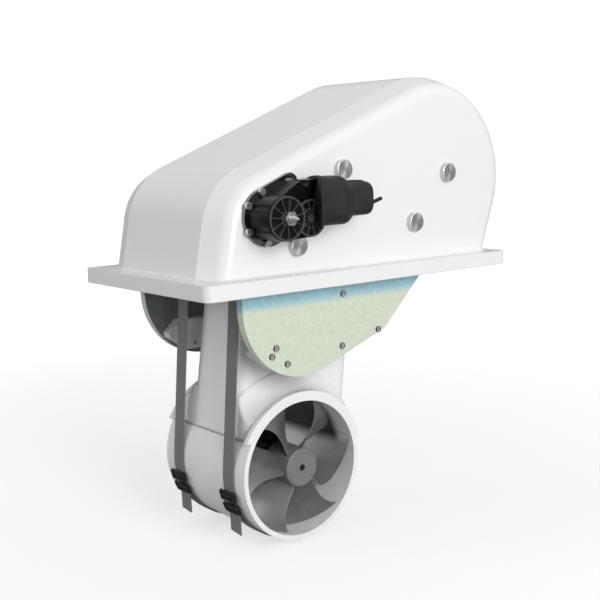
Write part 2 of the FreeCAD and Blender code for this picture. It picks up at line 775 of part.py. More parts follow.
def leg_flare(mouth_y):
    """Where a side wall of the leg sweeps out to the duct's rim: a concave round about the duct."""
    side_y = leg_centre_y + math.copysign(leg_half_width_low, mouth_y - leg_centre_y)
    outer = rim_radius + flare_rise
    start = Vector(rim_radius, mouth_y, 0)
    end = Vector(outer, side_y, 0)
    turn = math.radians(45)
    middle = Vector(outer - flare_rise * math.cos(turn), mouth_y + (side_y - mouth_y) * math.sin(turn), 0)
    inward = Vector(0, math.copysign(leg_corner_radius, leg_centre_y - mouth_y), 0)
    core = Vector(duct_bore_radius - outer, 0, 0)
    edges = [
        Part.Arc(start, middle, end).toShape(),
        Part.makeLine(end, end + inward),
        Part.makeLine(end + inward, end + inward + core),
        Part.makeLine(end + inward + core, Vector(duct_bore_radius, mouth_y, 0)),
        Part.makeLine(Vector(duct_bore_radius, mouth_y, 0), start),
    ]
    ring = Part.Face(Part.Wire(edges)).revolve(Vector(0, 0, 0), ALONG_Y, 360)
    corner = Vector(leg_front, duct_near_y, 0)
    block = Part.makeBox(leg_rear - leg_front, 2 * duct_half_length, outer, corner)
    return ring.common(rounded_upright(block, flare_corner_radius))


def leg_shell():
    """Upper moulding: box, upper half of the duct with thick rims, and the pivot boss."""
    near = duct_near_y
    far = duct_far_y
    body = leg_body().fuse(rod(0, 0, duct_outer_radius, near, far))
    body = body.fuse(rod(0, 0, rim_radius, near, near + rim_width))
    body = body.fuse(rod(0, 0, rim_radius, far - rim_width, far))
    body = body.fuse(leg_flare(near)).fuse(leg_flare(far))
    body = above_parting(body, True)
    body = body.cut(rod(0, 0, duct_bore_radius, near - 1, far + 1))
    body = body.cut(leg_cavity())
    across, along = in_leg_frame(pivot_x, pivot_z)
    body = body.fuse(rod(across, along, boss_radius - boss_rim, -boss_end(), boss_end()))
    for start in (-boss_end() - 1, boss_end() - pivot_bush_length):
        end = start + pivot_bush_length + 1
        body = body.cut(rod(across, along, pivot_pin_radius + pivot_bush_wall, start, end))
    body = body.cut(Part.makeCylinder(neck_radius, cavity_floor, Vector(0, leg_centre_y, duct_bore_radius - 10)))
    return body


def build_leg():
    """The leg's moulded pieces and its fittings."""
    save("leg_shell", on_leg(leg_shell()))
    lower = above_parting(rod(0, 0, duct_outer_radius, duct_near_y, duct_far_y), False)
    lower = lower.cut(rod(0, 0, duct_bore_radius, duct_near_y - 1, duct_far_y + 1))
    save("duct_lower_shell", on_leg(lower))


def gear_leg_strut():
    """The strut from the pod to the bore's crown: a long rounded section, with a pad on the crown."""
    half = strut_thickness / 2
    near = hub_far_y + strut_near_gap + half
    far = near + strut_chord - strut_thickness
    strut = Part.makeCylinder(half, duct_bore_radius, Vector(0, near, 0))
    strut = strut.fuse(Part.makeCylinder(half, duct_bore_radius, Vector(0, far, 0)))
    strut = strut.fuse(Part.makeBox(strut_thickness, far - near, duct_bore_radius, Vector(-half, near, 0)))
    inside = duct_bore_radius - seat_gap
    strut = strut.common(rod(0, 0, inside, near - half, far + half))
    pad = Part.makeCylinder(crown_pad_radius, duct_bore_radius, Vector(0, (near + far) / 2, 0))
    shell = rod(0, 0, inside, duct_near_y, duct_far_y).cut(
        rod(0, 0, inside - crown_pad_thickness, duct_near_y, duct_far_y))
    return strut.fuse(pad.common(shell))


def build_gear_leg():
    """Streamlined gear leg inside the duct with its pod, bored for shafts and gears."""
    y = leg_centre_y
    pod = rod(0, 0, pod_radius, pod_near_y, pod_far_y)
    nose = [e for e in pod.Edges if e.BoundBox.XLength > pod_radius and e.BoundBox.YMin > pod_far_y - 1]
    pod = pod.makeFillet(pod_radius * 0.8, nose)
    strut = Part.makeCylinder(neck_radius, cavity_floor + 1, Vector(0, y, 0)).fuse(gear_leg_strut())
    flange = Part.makeCylinder(motor_mount_radius, motor_mount_thickness, Vector(0, y, cavity_floor))
    body = pod.fuse(strut).fuse(flange)
    body = body.cut(rod(0, 0, bevel_gear_radius + 2, y - 6, y + bevel_gear_depth() + 3))
    body = body.cut(Part.makeCylinder(bevel_pinion_radius + 1.5, bevel_gear_radius + 8, Vector(0, y, 0)))
    body = body.cut(Part.makeCylinder(drive_shaft_radius + 1, cavity_floor + 10, Vector(0, y, 0)))
    body = body.cut(rod(0, 0, propeller_shaft_radius + 1, pod_near_y - 1, y + bevel_gear_depth() + 20))
    for start in bearing_starts():
        body = body.cut(rod(0, 0, shaft_bearing_radius, start, start + shaft_bearing_width))
    save("gear_leg", on_leg(body))
    rings = []
    for start in bearing_starts():
        ring = rod(0, 0, shaft_bearing_radius, start, start + shaft_bearing_width)
        rings.append(on_leg(ring.cut(rod(0, 0, propeller_shaft_radius + running_gap, start - 1, start + 20))))
    save_group("propeller_shaft_bearings", rings)
    base = cavity_floor + motor_mount_thickness
    motor = Part.makeCylinder(motor_radius, motor_length, Vector(0, y, base))
    bore = Part.makeCylinder(drive_shaft_radius + running_gap, shaft_in_motor + 4, Vector(0, y, base - 1))
    motor = motor.cut(bore)
    save("drive_motor", on_leg(motor))


def bevel_gear_depth():
    """How far the gear's back face lies from the crossing of the shafts."""
    return bevel_pinion_radius + bevel_back


def bearing_starts():
    """Near faces of the two bearings on the propeller shaft."""
    return [pod_near_y, leg_centre_y + bevel_gear_depth() + 8.0]


def build_drive_shaft():
    """Upright shaft from the drive motor with its bevel pinion."""
    y = leg_centre_y
    top = cavity_floor + motor_mount_thickness + shaft_in_motor
    shaft = Part.makeCylinder(drive_shaft_radius, top - bevel_gear_radius, Vector(0, y, bevel_gear_radius))
    ratio = bevel_pinion_radius / bevel_gear_radius
    low = bevel_gear_radius - bevel_gear_face
    pinion = Part.makeCone(low * ratio - bevel_gap, bevel_pinion_radius - bevel_gap, bevel_gear_face,
                           Vector(0, y, low))
    collar = Part.makeCylinder(bevel_pinion_radius - bevel_gap, bevel_collar_length, Vector(0, y, bevel_gear_radius))
    pinion = pinion.fuse(collar).cut(Part.makeCylinder(drive_shaft_radius, 40.0, Vector(0, y, bevel_gear_radius)))
    save("drive_shaft", on_leg(shaft))
    save("bevel_pinion", on_leg(pinion))


def blade_section(distance, middle, near_y):
    """A thin lens on a plane square to the blade's middle: its edges lie on straight radii."""
    thin = blade_thickness * (1.15 - 0.6 * distance / blade_tip_radius)
    pitch_angle = math.atan2(blade_depth, distance * blade_sweep)
    outward = point(math.cos(middle), math.sin(middle))
    along = point(-math.sin(middle), math.cos(middle))
    outness = (distance - hub_radius) / (blade_tip_radius - hub_radius)
    reach = 1 - blade_waist * math.sin(math.pi * min(max(outness, 0.0), 1.0))
    curves = []
    for side in (1, -1):
        places = []
        for k in range(5):
            share = k / 4 * reach
            bulge = side * thin * (0.12 + 0.88 * math.sin(math.pi * k / 4)) / 2
            swing = distance * math.tan(blade_sweep * (0.5 - share)) + bulge * math.sin(pitch_angle)
            depth = near_y + blade_depth * share + bulge * math.cos(pitch_angle)
            places.append(outward * distance + along * swing + Vector(0, depth, 0))
        curve = Part.BSplineCurve()
        curve.interpolate(places)
        curves.append(curve.toShape())
    front, back = curves
    ends = [Part.makeLine(front.Vertexes[k].Point, back.Vertexes[k].Point) for k in (0, 1)]
    return Part.Wire(Part.__sortEdges__([front, ends[1], back, ends[0]]))


def blade(start):
    """One twisted blade, trimmed to the tip circle."""
    middle = start - blade_sweep / 2
    near_y = hub_near_y + blade_start_depth
    span = blade_tip_radius - hub_radius
    distances = [hub_radius * 0.55, hub_radius + span * 0.2, hub_radius + span * 0.6, blade_tip_radius + 2.0]
    solid = Part.makeLoft([blade_section(distance, middle, near_y) for distance in distances], True, False)
    return solid.common(rod(0, 0, blade_tip_radius, near_y - 20, near_y + blade_depth + 20))


def propeller():
    """Hub with twisted blades, bored for its shaft and its retaining screw."""
    hub = rod(0, 0, hub_radius, hub_near_y, hub_far_y)
    edge = [e for e in hub.Edges if e.BoundBox.XLength > hub_radius and e.BoundBox.YMax < hub_near_y + 1]
    body = hub.makeFillet(hub_edge_radius, edge)
    for k in range(propeller_blades):
        body = body.fuse(blade(first_blade + k * 2 * math.pi / propeller_blades))
    body = body.cut(rod(0, 0, propeller_shaft_radius, hub_near_y + hub_screw_depth, hub_far_y + 1))
    return body.cut(rod(0, 0, hub_screw_radius, hub_near_y - 1, hub_near_y + hub_screw_depth + 1))


def build_propeller():
    """Propeller, its shaft with the bevel gear, and the retaining screw."""
    y = leg_centre_y
    save("propeller", on_leg(propeller()))
    shaft_end = bearing_starts()[-1] + shaft_bearing_width
    shaft = rod(0, 0, propeller_shaft_radius, hub_near_y + hub_screw_depth, shaft_end)
    save("propeller_shaft", on_leg(shaft))
    ratio = bevel_gear_radius / bevel_pinion_radius
    near = bevel_pinion_radius - bevel_gear_face * 0.7
    gear = Part.makeCone(near * ratio - bevel_gap, bevel_gear_radius - bevel_gap, bevel_pinion_radius - near,
                         Vector(0, y + near, 0), ALONG_Y)
    gear = gear.fuse(rod(0, 0, bevel_gear_radius - bevel_gap, y + bevel_pinion_radius, y + bevel_gear_depth()))
    gear = gear.cut(rod(0, 0, propeller_shaft_radius, y, y + bevel_gear_depth() + 1))
    save("bevel_gear", on_leg(gear))
    screw = rod(0, 0, hub_screw_radius, hub_near_y + 1.0, hub_near_y + hub_screw_depth)
    save("propeller_screw", on_leg(screw))


def strap(centre_y):
    """One strap: down the front from the anchor bar, round under the duct and up to its end."""
    inner = duct_outer_radius + seat_gap
    outer = inner + strap_thickness
    top = point(leg_front - strap_bar_out - strap_bar_radius, strap_bar_height)
    touch = math.atan2(top.z, top.x) + math.acos(inner / math.hypot(top.x, top.z))
    outward = point(math.cos(touch), math.sin(touch))
    inner_touch = outward * inner
    outer_touch = outward * outer
    above = top + outward * strap_thickness
    last = point(math.cos(strap_end_angle), math.sin(strap_end_angle))
    edges = [
        Part.makeLine(inner_touch, top),
        Part.makeLine(top, above),
        Part.makeLine(above, outer_touch),
        arc_about(0, 0, outer, touch, strap_end_angle),
        Part.makeLine(last * outer, last * inner),
        arc_about(0, 0, inner, strap_end_angle, touch),
    ]
    y_start = centre_y - strap_width / 2
    band = plate_from(edges, y_start, y_start + strap_width)
    return band.fuse(strap_tail(outer, y_start))


def strap_tail(radius, y_start):
    """The loose end below the lower buckle, which hangs plumb."""
    start = point(radius * math.cos(tail_angle), radius * math.sin(tail_angle))
    plumb = point(math.sin(math.radians(leg_tilt)), -math.cos(math.radians(leg_tilt)))
    across = point(plumb.z, -plumb.x) * strap_thickness
    corners = [start, start + across, start + across + plumb * tail_length, start + plumb * tail_length]
    root = start * ((radius - strap_thickness / 2) / radius)
    corners.append(root)
    return polygon_plate([(corner.x, corner.z) for corner in corners], y_start, y_start + strap_width)


def buckle(centre_y, angle):
    """A ladder-lock buckle lying on the strap where it rounds the duct."""
    inner = duct_outer_radius + seat_gap + strap_thickness
    frame = Part.makeBox(buckle_height, strap_width + 2 * buckle_side, buckle_length,
                         Vector(inner + seat_gap, centre_y - strap_width / 2 - buckle_side, -buckle_length / 2))
    slot_length = (buckle_length - 3 * buckle_bar) / 2
    for low in (buckle_bar - buckle_length / 2, buckle_length / 2 - buckle_bar - slot_length):
        frame = frame.cut(Part.makeBox(buckle_height, strap_width + 1, slot_length,
                                       Vector(inner + buckle_height / 4, centre_y - strap_width / 2 - 0.5, low)))
    frame.rotate(Vector(0, 0, 0), ALONG_Y, -angle)
    return frame


def build_straps():
    """Anchor bar with its posts, two straps with loose ends, and their buckles."""
    near_y = leg_centre_y - strap_spread
    far_y = leg_centre_y + strap_spread
    bar_x = leg_front - strap_bar_out
    bar = rod(bar_x, strap_bar_height, strap_bar_radius, near_y - strap_width / 2 - 4, far_y + strap_width / 2 + 4)
    for y in (leg_centre_y - strap_bar_post_spread, leg_centre_y + strap_bar_post_spread):
        corner = Vector(bar_x, y - strap_bar_post_width / 2, strap_bar_height - strap_bar_post_height / 2)
        bar = bar.fuse(Part.makeBox(strap_bar_out, strap_bar_post_width, strap_bar_post_height, corner))
    save("strap_anchor_bar", on_leg(bar))
    for name, y in (("near", near_y), ("far", far_y)):
        save("strap_" + name, on_leg(strap(y)))
        save_group("buckles_" + name, [on_leg(buckle(y, angle)) for angle in buckle_angles])


def build_leg_fittings():
    """Stop pins, which reach from the leg's sides to the stops on the plates."""
    across, along = in_leg_frame(*stop_pin_place)
    tip = plate_inner - stop_thickness * 0.6
    near = rod(across, along, stop_pin_radius, -tip, leg_centre_y - leg_half_width_low)
    far = rod(across, along, stop_pin_radius, leg_centre_y + leg_half_width_low, tip)
    save("stop_pin_near", on_leg(near))
    save("stop_pin_far", on_leg(far))


os.makedirs("parts", exist_ok=True)
save("housing_shell", housing_shell())
build_side_plates()
build_plate_bolts()
build_pivot()
build_plate_fittings()
build_lift_drive()
build_gear_case()
build_lift_motor()
build_leg()
build_gear_leg()
build_drive_shaft()
build_propeller()
build_straps()
build_leg_fittings()
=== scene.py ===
"""Finishes and fine pieces of a retractable bow thruster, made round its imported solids.

Every length is in metres, in the solids' own frame: X towards the high rear dome, Y along the duct,
Z up from the flange's underside. Each operator makes one group of pieces.
"""

import json
import math

import bpy
import numpy as np
from bpy.props import FloatProperty, FloatVectorProperty, IntProperty, PointerProperty
from mathutils import Matrix, Vector


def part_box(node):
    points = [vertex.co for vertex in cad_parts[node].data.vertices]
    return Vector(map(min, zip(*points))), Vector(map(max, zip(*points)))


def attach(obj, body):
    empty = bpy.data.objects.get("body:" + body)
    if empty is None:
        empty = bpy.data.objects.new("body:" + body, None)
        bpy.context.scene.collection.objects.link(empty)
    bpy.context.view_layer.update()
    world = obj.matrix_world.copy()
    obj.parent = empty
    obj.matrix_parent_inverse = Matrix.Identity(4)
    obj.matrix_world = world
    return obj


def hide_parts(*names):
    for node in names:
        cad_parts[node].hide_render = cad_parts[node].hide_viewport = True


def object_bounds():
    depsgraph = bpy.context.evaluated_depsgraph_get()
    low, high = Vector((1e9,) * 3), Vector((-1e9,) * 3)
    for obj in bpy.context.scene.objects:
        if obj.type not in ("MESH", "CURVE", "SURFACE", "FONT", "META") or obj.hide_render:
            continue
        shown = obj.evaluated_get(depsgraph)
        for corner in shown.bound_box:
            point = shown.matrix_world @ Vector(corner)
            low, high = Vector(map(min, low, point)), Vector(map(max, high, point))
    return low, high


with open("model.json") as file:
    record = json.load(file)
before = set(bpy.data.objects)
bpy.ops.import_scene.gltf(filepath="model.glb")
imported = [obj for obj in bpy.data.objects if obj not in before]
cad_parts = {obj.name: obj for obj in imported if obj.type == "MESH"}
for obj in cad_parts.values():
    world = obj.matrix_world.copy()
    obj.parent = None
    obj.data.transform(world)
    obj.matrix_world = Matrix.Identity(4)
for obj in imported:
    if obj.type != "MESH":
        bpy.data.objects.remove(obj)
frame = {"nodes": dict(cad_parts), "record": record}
solid_box = [list(corner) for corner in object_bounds()]

bl_info = {
    "name": "Bow thruster dressing",
    "version": (1, 0, 0),
    "blender": (4, 5, 0),
    "location": "View3D > Sidebar > Thruster",
    "description": "Gives a retractable bow thruster its finishes, webbing, boot and studio",
    "category": "Object",
}

# The leg's own frame, worked out from the duct: it leans back a little when it is down
LEG_TILT = math.radians(7.7)
DUCT_AXIS = Vector((-0.094, -0.012, -0.250))
BORE_RADIUS = 0.0925

# Painted shade under the bore's crown, which lies in shade: where it fades along the duct at both mouths,
# and over its axis
BORE_PAINTED_SHADE = (0.02, 0.02, 0.02)
BORE_SHADE_NEAR = (-0.084, -0.064)
BORE_SHADE_FAR = (0.045, 0.065)
BORE_SHADE_RISE = (0.0, 0.024)

# Distances from the duct's middle, along it, between which rounded edges sharpen to the rims' own
RIM_FADE = (0.080, 0.091)

# Half the gap between the side plates, with a little of their thickness; faces within it get painted shade
PLATE_INNER = 0.1123

# Bolt discs and screw heads, seen from the side; the rings are given in radians per metre
BOLT_REACH = 0.016
BOLT_RINGS = 9000.0
# Screw heads get painted shade: a ring at the rim between these two radii, and the socket within the last
# one
SCREW_RIM_SHADE = (0.0025, 0.0034)
SCREW_SOCKET_SHADE = 0.0011

# Weave: the pitch of the ribs across the webbing, and of the threads along it
RIB_PITCH = 0.0021
THREAD_PITCH = 0.0016


def leg_point(across, y, along):
    """A place given in the leg's own frame, as a place in the solids' frame."""
    x = DUCT_AXIS.x + across * math.cos(LEG_TILT) + along * math.sin(LEG_TILT)
    z = DUCT_AXIS.z - across * math.sin(LEG_TILT) + along * math.cos(LEG_TILT)
    return np.stack(np.broadcast_arrays(x, y, z), axis=-1)


def colour_property(name, description, default):
    """A colour that the panel shows."""
    return FloatVectorProperty(name=name, description=description, default=default,
                               subtype="COLOR", size=3, min=0.0, max=1.0)


def size_property(name, description, default, largest, unit="NONE"):
    """A size or a level from 0 up that the panel shows."""
    return FloatProperty(name=name, description=description, default=default,
                         min=0.0, max=largest, unit=unit)


class ThrusterColours(bpy.types.PropertyGroup):
    """Colours of the finishes."""

    gelcoat: colour_property("Gelcoat", "Glossy moulding", (0.86, 0.86, 0.86))
    laminate: colour_property("Raw laminate", "Bare lower half of the duct", (0.88, 0.88, 0.875))
    plate: colour_property("Plate", "Pale green side plates", (0.63, 0.695, 0.565))
    # The plate band is painted shade of the flange, tinted blue
    plate_shade_band: colour_property("Plate band", "Blue tint under the flange", (0.33, 0.55, 0.62))
    webbing: colour_property("Webbing", "Woven straps", (0.17, 0.17, 0.17))
    rubber: colour_property("Rubber", "Motor boot", (0.019, 0.019, 0.019))
    casing: colour_property("Casing", "Black ribbed casing", (0.004, 0.004, 0.004))
    propeller: colour_property("Propeller", "Moulded blades", (0.135, 0.135, 0.135))
    steel: colour_property("Steel", "Turned stainless steel", (0.58, 0.58, 0.575))


class ThrusterSizes(bpy.types.PropertyGroup):
    """Sizes and levels that a user may change."""

    # The band's depth is how far the painted shade of the flange reaches below it
    shade_band_depth: size_property("Band depth", "Depth of the blue tint below the flange", 0.021, 0.1, "LENGTH")
    key_power: size_property("Key light", "Power of the soft key light", 138.0, 900.0, "POWER")
    side_power: size_property("Side light", "Power of the soft light at the front end", 25.0, 900.0, "POWER")
    sky_level: size_property("Sky level", "Strength of the even light all round", 0.61, 2.0)
    floor_lift: size_property("Floor lift", "Brightness that the camera sees added to the floor", 0.62, 1.0)


def add_node(tree, kind, inputs, **settings):
    """A shader node with its settings, and its inputs given as constants or as outputs."""
    made = tree.nodes.new(kind)
    for key, value in settings.items():
        setattr(made, key, value)
    for key, value in inputs.items():
        if isinstance(value, bpy.types.NodeSocket):
            tree.links.new(value, made.inputs[key])
        else:
            made.inputs[key].default_value = value
    return made


class Finish:
    """A new material with its Principled shader, and short calls for the nodes that feed it."""

    def __init__(self, name, colour, roughness, metallic=0.0, coordinates="Object"):
        material = bpy.data.materials.new(name + "_surface")
        material.use_nodes = True
        self.tree = material.node_tree
        self.shader = self.tree.nodes["Principled BSDF"]
        self.set("Base Color", (*colour, 1.0)).set("Roughness", roughness).set("Metallic", metallic)
        self.place = self.node("ShaderNodeTexCoord", {}).outputs[coordinates]

    def set(self, socket, value):
        """A constant on the shader's own socket."""
        self.shader.inputs[socket].default_value = value
        return self

    def feed(self, socket, output):
        """Join an output to the shader."""
        self.tree.links.new(output, self.shader.inputs[socket])

    def node(self, kind, inputs, **settings):
        """A node of this material."""
        return add_node(self.tree, kind, inputs, **settings)

    def maths(self, operation, *values):
        """One step of arithmetic."""
        return self.node("ShaderNodeMath", dict(enumerate(values)), operation=operation).outputs[0]

    def vector(self, operation, *values):
        """One step of arithmetic on vectors; a length comes out as a number."""
        made = self.node("ShaderNodeVectorMath", dict(enumerate(values)), operation=operation)
        return made.outputs["Value" if operation == "LENGTH" else "Vector"]

    def axes(self):
        """The three coordinates, each as an output."""
        return self.node("ShaderNodeSeparateXYZ", {"Vector": self.place}).outputs

    def stretched(self, scale):
        """The coordinates, scaled along each axis."""
        return self.node("ShaderNodeMapping", {"Vector": self.place, "Scale": scale}).outputs[0]

    def noise(self, scale, detail=3.0, vector=None):
        """Soft noise from 0 to 1; the scale is in patches per metre."""
        vector = self.place if vector is None else vector
        inputs = {"Vector": vector, "Scale": scale, "Detail": detail}
        return self.node("ShaderNodeTexNoise", inputs).outputs["Fac"]

    def between(self, factor, low, high, start=0.0, end=1.0):
        """A value moved smoothly from the range start..end to low..high."""
        inputs = {"Value": factor, "From Min": start, "From Max": end, "To Min": low, "To Max": high}
        return self.node("ShaderNodeMapRange", inputs, interpolation_type="SMOOTHSTEP").outputs["Result"]

    def patches(self, scale, detail, start, end):
        """Noise with more contrast: 0 up to the start level, 1 from the end level."""
        return self.between(self.noise(scale, detail), 0.0, 1.0, start, end)

    def blend(self, factor, first, second):
        """A colour between two others, which are constants or outputs."""
        colours = [value if isinstance(value, bpy.types.NodeSocket) else (*value, 1.0)
                   for value in (first, second)]
        inputs = {0: factor, 6: colours[0], 7: colours[1]}
        return self.node("ShaderNodeMix", inputs, data_type="RGBA").outputs[2]

    def bump(self, height, distance, strength, rounding=None):
        """Relief of a given depth in metres, over edges that shade as if rounded by a radius."""
        inputs = {"Height": height, "Distance": distance, "Strength": strength}
        if rounding is not None:
            bevel = self.node("ShaderNodeBevel", {"Radius": rounding}, samples=8)
            inputs["Normal"] = bevel.outputs["Normal"]
        self.feed("Normal", self.node("ShaderNodeBump", inputs).outputs["Normal"])

    def paint(self, factor, first, second):
        """Give the shader a colour between two others."""
        self.feed("Base Color", self.blend(factor, first, second))

    def dull(self, factor, low, high, start=0.0, end=1.0):
        """Give the shader a roughness from low to high."""
        self.feed("Roughness", self.between(factor, low, high, start, end))


def surface(name):
    """The material that a finish made."""
    return bpy.data.materials[name + "_surface"]


def shade(colour, factor):
    """A colour made darker or lighter."""
    return tuple(min(1.0, part * factor) for part in colour)


def duct_distance(finish):
    """How far a place lies from the duct's axis, which runs along Y, with its height over it and its Y."""
    axes = finish.axes()
    across = finish.maths("SUBTRACT", axes["X"], DUCT_AXIS.x)
    height = finish.maths("SUBTRACT", axes["Z"], DUCT_AXIS.z)
    squares = [finish.maths("MULTIPLY", offset, offset) for offset in (across, height)]
    return finish.maths("SQRT", finish.maths("ADD", *squares)), height, axes["Y"]


def paint_duct_shade(finish, plain):
    """Paint a part of the duct: plain outside and at the two mouths, with painted shade under the crown of
    the bore.
    """
    away, height, depth = duct_distance(finish)
    share = finish.maths("LESS_THAN", away, BORE_RADIUS + 0.001)
    for place, low, high, fade in ((depth, 0.0, 1.0, BORE_SHADE_NEAR), (depth, 1.0, 0.0, BORE_SHADE_FAR),
                                   (height, 0.0, 1.0, BORE_SHADE_RISE)):
        share = finish.maths("MULTIPLY", share, finish.between(place, low, high, *fade))
    finish.paint(share, plain, BORE_PAINTED_SHADE)


def gelcoat(name, colour, roughness, coat, rounding, rim_rounding):
    """White gelcoat: a clear gloss over faint waves of the mould, duller where it was rubbed.

    Edges shade as if rounded by a radius, which falls to the rims' own near the duct's two mouths.
    """
    finish = Finish(name, colour, roughness).set("Coat Weight", coat).set("Coat Roughness", 0.08)
    # Painted shade under the crown of the bore
    paint_duct_shade(finish, finish.blend(finish.noise(9.0), shade(colour, 0.985), colour))
    finish.dull(finish.noise(35.0), roughness * 0.8, roughness * 1.35)
    from_middle = finish.maths("ABSOLUTE", finish.maths("SUBTRACT", finish.axes()["Y"], DUCT_AXIS.y))
    radius = finish.between(from_middle, rounding, rim_rounding, *RIM_FADE)
    finish.bump(finish.noise(28.0, 1.0), 0.0004, 0.35, radius)


def raw_laminate(colour):
    """Bare moulded laminate: streaks round the duct, small pits and a dull surface."""
    finish = Finish("raw_laminate", colour, 0.6)
    streaks = finish.noise(150.0, 4.0, finish.stretched((0.35, 1.0, 0.14)))
    pits = finish.noise(420.0, 2.0)
    streaked = finish.blend(finish.between(streaks, 0.0, 1.0, 0.35, 0.7), shade(colour, 0.95), colour)
    smudged = finish.blend(finish.patches(24.0, 3.0, 0.58, 0.72), streaked, shade(colour, 0.88))
    spots = finish.between(pits, 0.0, 0.7, 0.69, 0.76)
    # Painted shade under the crown of the bore
    paint_duct_shade(finish, finish.blend(spots, smudged, shade(colour, 0.6)))
    finish.dull(streaks, 0.5, 0.75)
    finish.bump(finish.maths("ADD", streaks, pits), 0.0007, 0.5)


def plate_laminate(colour, band, depth):
    """Pale green sheet laminate, cloudy, with a soft blue band of painted shade under the flange and a dark
    inner face of painted shade.
    """
    finish = Finish("plate_laminate", colour, 0.5).set("Coat Weight", 0.1)
    clouds = finish.patches(190.0, 5.0, 0.34, 0.66)
    speckle = finish.patches(520.0, 2.0, 0.4, 0.6)
    mottled = finish.blend(clouds, shade(colour, 0.945), shade(colour, 1.035))
    mottled = finish.blend(finish.maths("MULTIPLY", speckle, 0.25), mottled, shade(colour, 1.07))
    axes = finish.axes()
    # Painted shade of the flange: a blue band below it, with a cloudy edge
    edge = finish.maths("ADD", axes["Z"], finish.maths("MULTIPLY", clouds, 0.0012))
    share = finish.between(edge, 0.0, 1.0, -depth - 0.006, -depth + 0.006)
    sheet = finish.blend(share, mottled, finish.blend(clouds, shade(band, 0.92), shade(band, 1.08)))
    # The plates' inner faces get painted shade, a dark cloudy grey
    inner = finish.maths("LESS_THAN", finish.maths("ABSOLUTE", axes["Y"]), PLATE_INNER)
    dark = finish.blend(clouds, (0.13, 0.13, 0.13), (0.17, 0.17, 0.17))
    finish.paint(inner, sheet, dark)
    finish.bump(speckle, 0.0002, 0.4)


def side_offset(finish, centre):
    """A place's offset from the middle of a round head, seen from the side, and the offset's length."""
    x, z = centre
    flat = finish.vector("MULTIPLY", finish.vector("SUBTRACT", finish.place, (x, 0.0, z)), (1.0, 0.0, 1.0))
    return flat, finish.vector("LENGTH", flat)


def turned_steel(colour, centres):
    """Steel turned on a lathe: fine rings round each bolt's middle, with the sheen across them.

    Rings and tangents are summed over the bolts, and each bolt's count only within its own reach.
    """
    finish = Finish("turned_steel", colour, 0.30, 1.0).set("Anisotropic", 0.92)
    relief, tangent = 0.0, (0.0, 0.0, 0.0)
    for centre in centres:
        flat, length = side_offset(finish, centre)
        near = finish.maths("LESS_THAN", length, BOLT_REACH)
        rings = finish.maths("SINE", finish.maths("MULTIPLY", length, BOLT_RINGS))
        relief = finish.maths("ADD", relief, finish.maths("MULTIPLY", rings, near))
        around = finish.vector("CROSS_PRODUCT", flat, (0.0, 1.0, 0.0))
        tangent = finish.vector("ADD", tangent, finish.vector("MULTIPLY", around, near))
    finish.feed("Tangent", tangent)
    finish.dull(relief, 0.24, 0.36, -1.0, 1.0)
    finish.bump(relief, 0.00003, 0.6)


def socket_steel(colour, centres):
    """Screw heads: pale steel round a socket of painted shade, with a dark ring of painted shade at the rim.
    """
    finish = Finish("socket_steel", colour, 0.3, 1.0)
    nearest = 1.0
    for centre in centres:
        nearest = finish.maths("MINIMUM", nearest, side_offset(finish, centre)[1])
    # A dark ring of painted shade at the rim, and painted shade in the socket
    rim = finish.between(nearest, 0.0, 1.0, *SCREW_RIM_SHADE)
    head = finish.blend(rim, shade(colour, 1.5), shade(colour, 0.12))
    socket = finish.maths("LESS_THAN", nearest, SCREW_SOCKET_SHADE)
    finish.paint(socket, head, shade(colour, 0.45))
    finish.dull(finish.noise(600.0), 0.25, 0.4)
    finish.bump(finish.noise(900.0), 0.00003, 0.5)


def machined_metal(name, colour, roughness):
    """Machined metal with fine scratches and a slightly uneven sheen."""
    finish = Finish(name, colour, roughness, 1.0)
    marks = finish.noise(900.0, 3.0, finish.stretched((1.0, 0.1, 1.0)))
    finish.paint(marks, shade(colour, 0.85), colour)
    finish.dull(marks, roughness * 0.75, roughness * 1.3)
    finish.bump(marks, 0.00004, 0.5)


def moulded_plastic(name, colour, roughness, gloss=0.22, grain=700.0, relief=0.00012):
    """Moulded plastic or cast paint with a fine grain and an uneven sheen; gloss sets its highlights."""
    finish = Finish(name, colour, roughness).set("Specular IOR Level", gloss)
    broad = finish.noise(45.0, 4.0)
    clouds = finish.between(broad, 0.0, 1.0, 0.3, 0.7)
    finish.paint(clouds, shade(colour, 0.88), shade(colour, 1.12))
    finish.dull(broad, roughness * 0.82, roughness * 1.18, 0.3, 0.7)
    finish.bump(finish.noise(grain), relief, 0.5)


def blade_plastic(colour):
    """Moulded blades with a soft sheen, cloudy along the flow; the hub is painted paler as painted light,
    with painted shade in its bored middle.
    """
    finish = Finish("propeller_plastic", colour, 0.34).set("Specular IOR Level", 0.4)
    broad = finish.patches(38.0, 4.0, 0.3, 0.7)
    blades = finish.blend(broad, shade(colour, 0.84), shade(colour, 1.08))
    away = duct_distance(finish)[0]
    # Painted light on the hub, which is paler, and painted shade in its bored middle
    hole_shade = finish.maths("LESS_THAN", away, HUB_HOLE + 0.0003)
    hub = finish.blend(hole_shade, shade(colour, 1.4), shade(colour, 0.2))
    finish.paint(finish.maths("LESS_THAN", away, HUB_RADIUS), blades, hub)
    finish.dull(broad, 0.28, 0.42)
    finish.bump(finish.noise(700.0), 0.00012, 0.5)


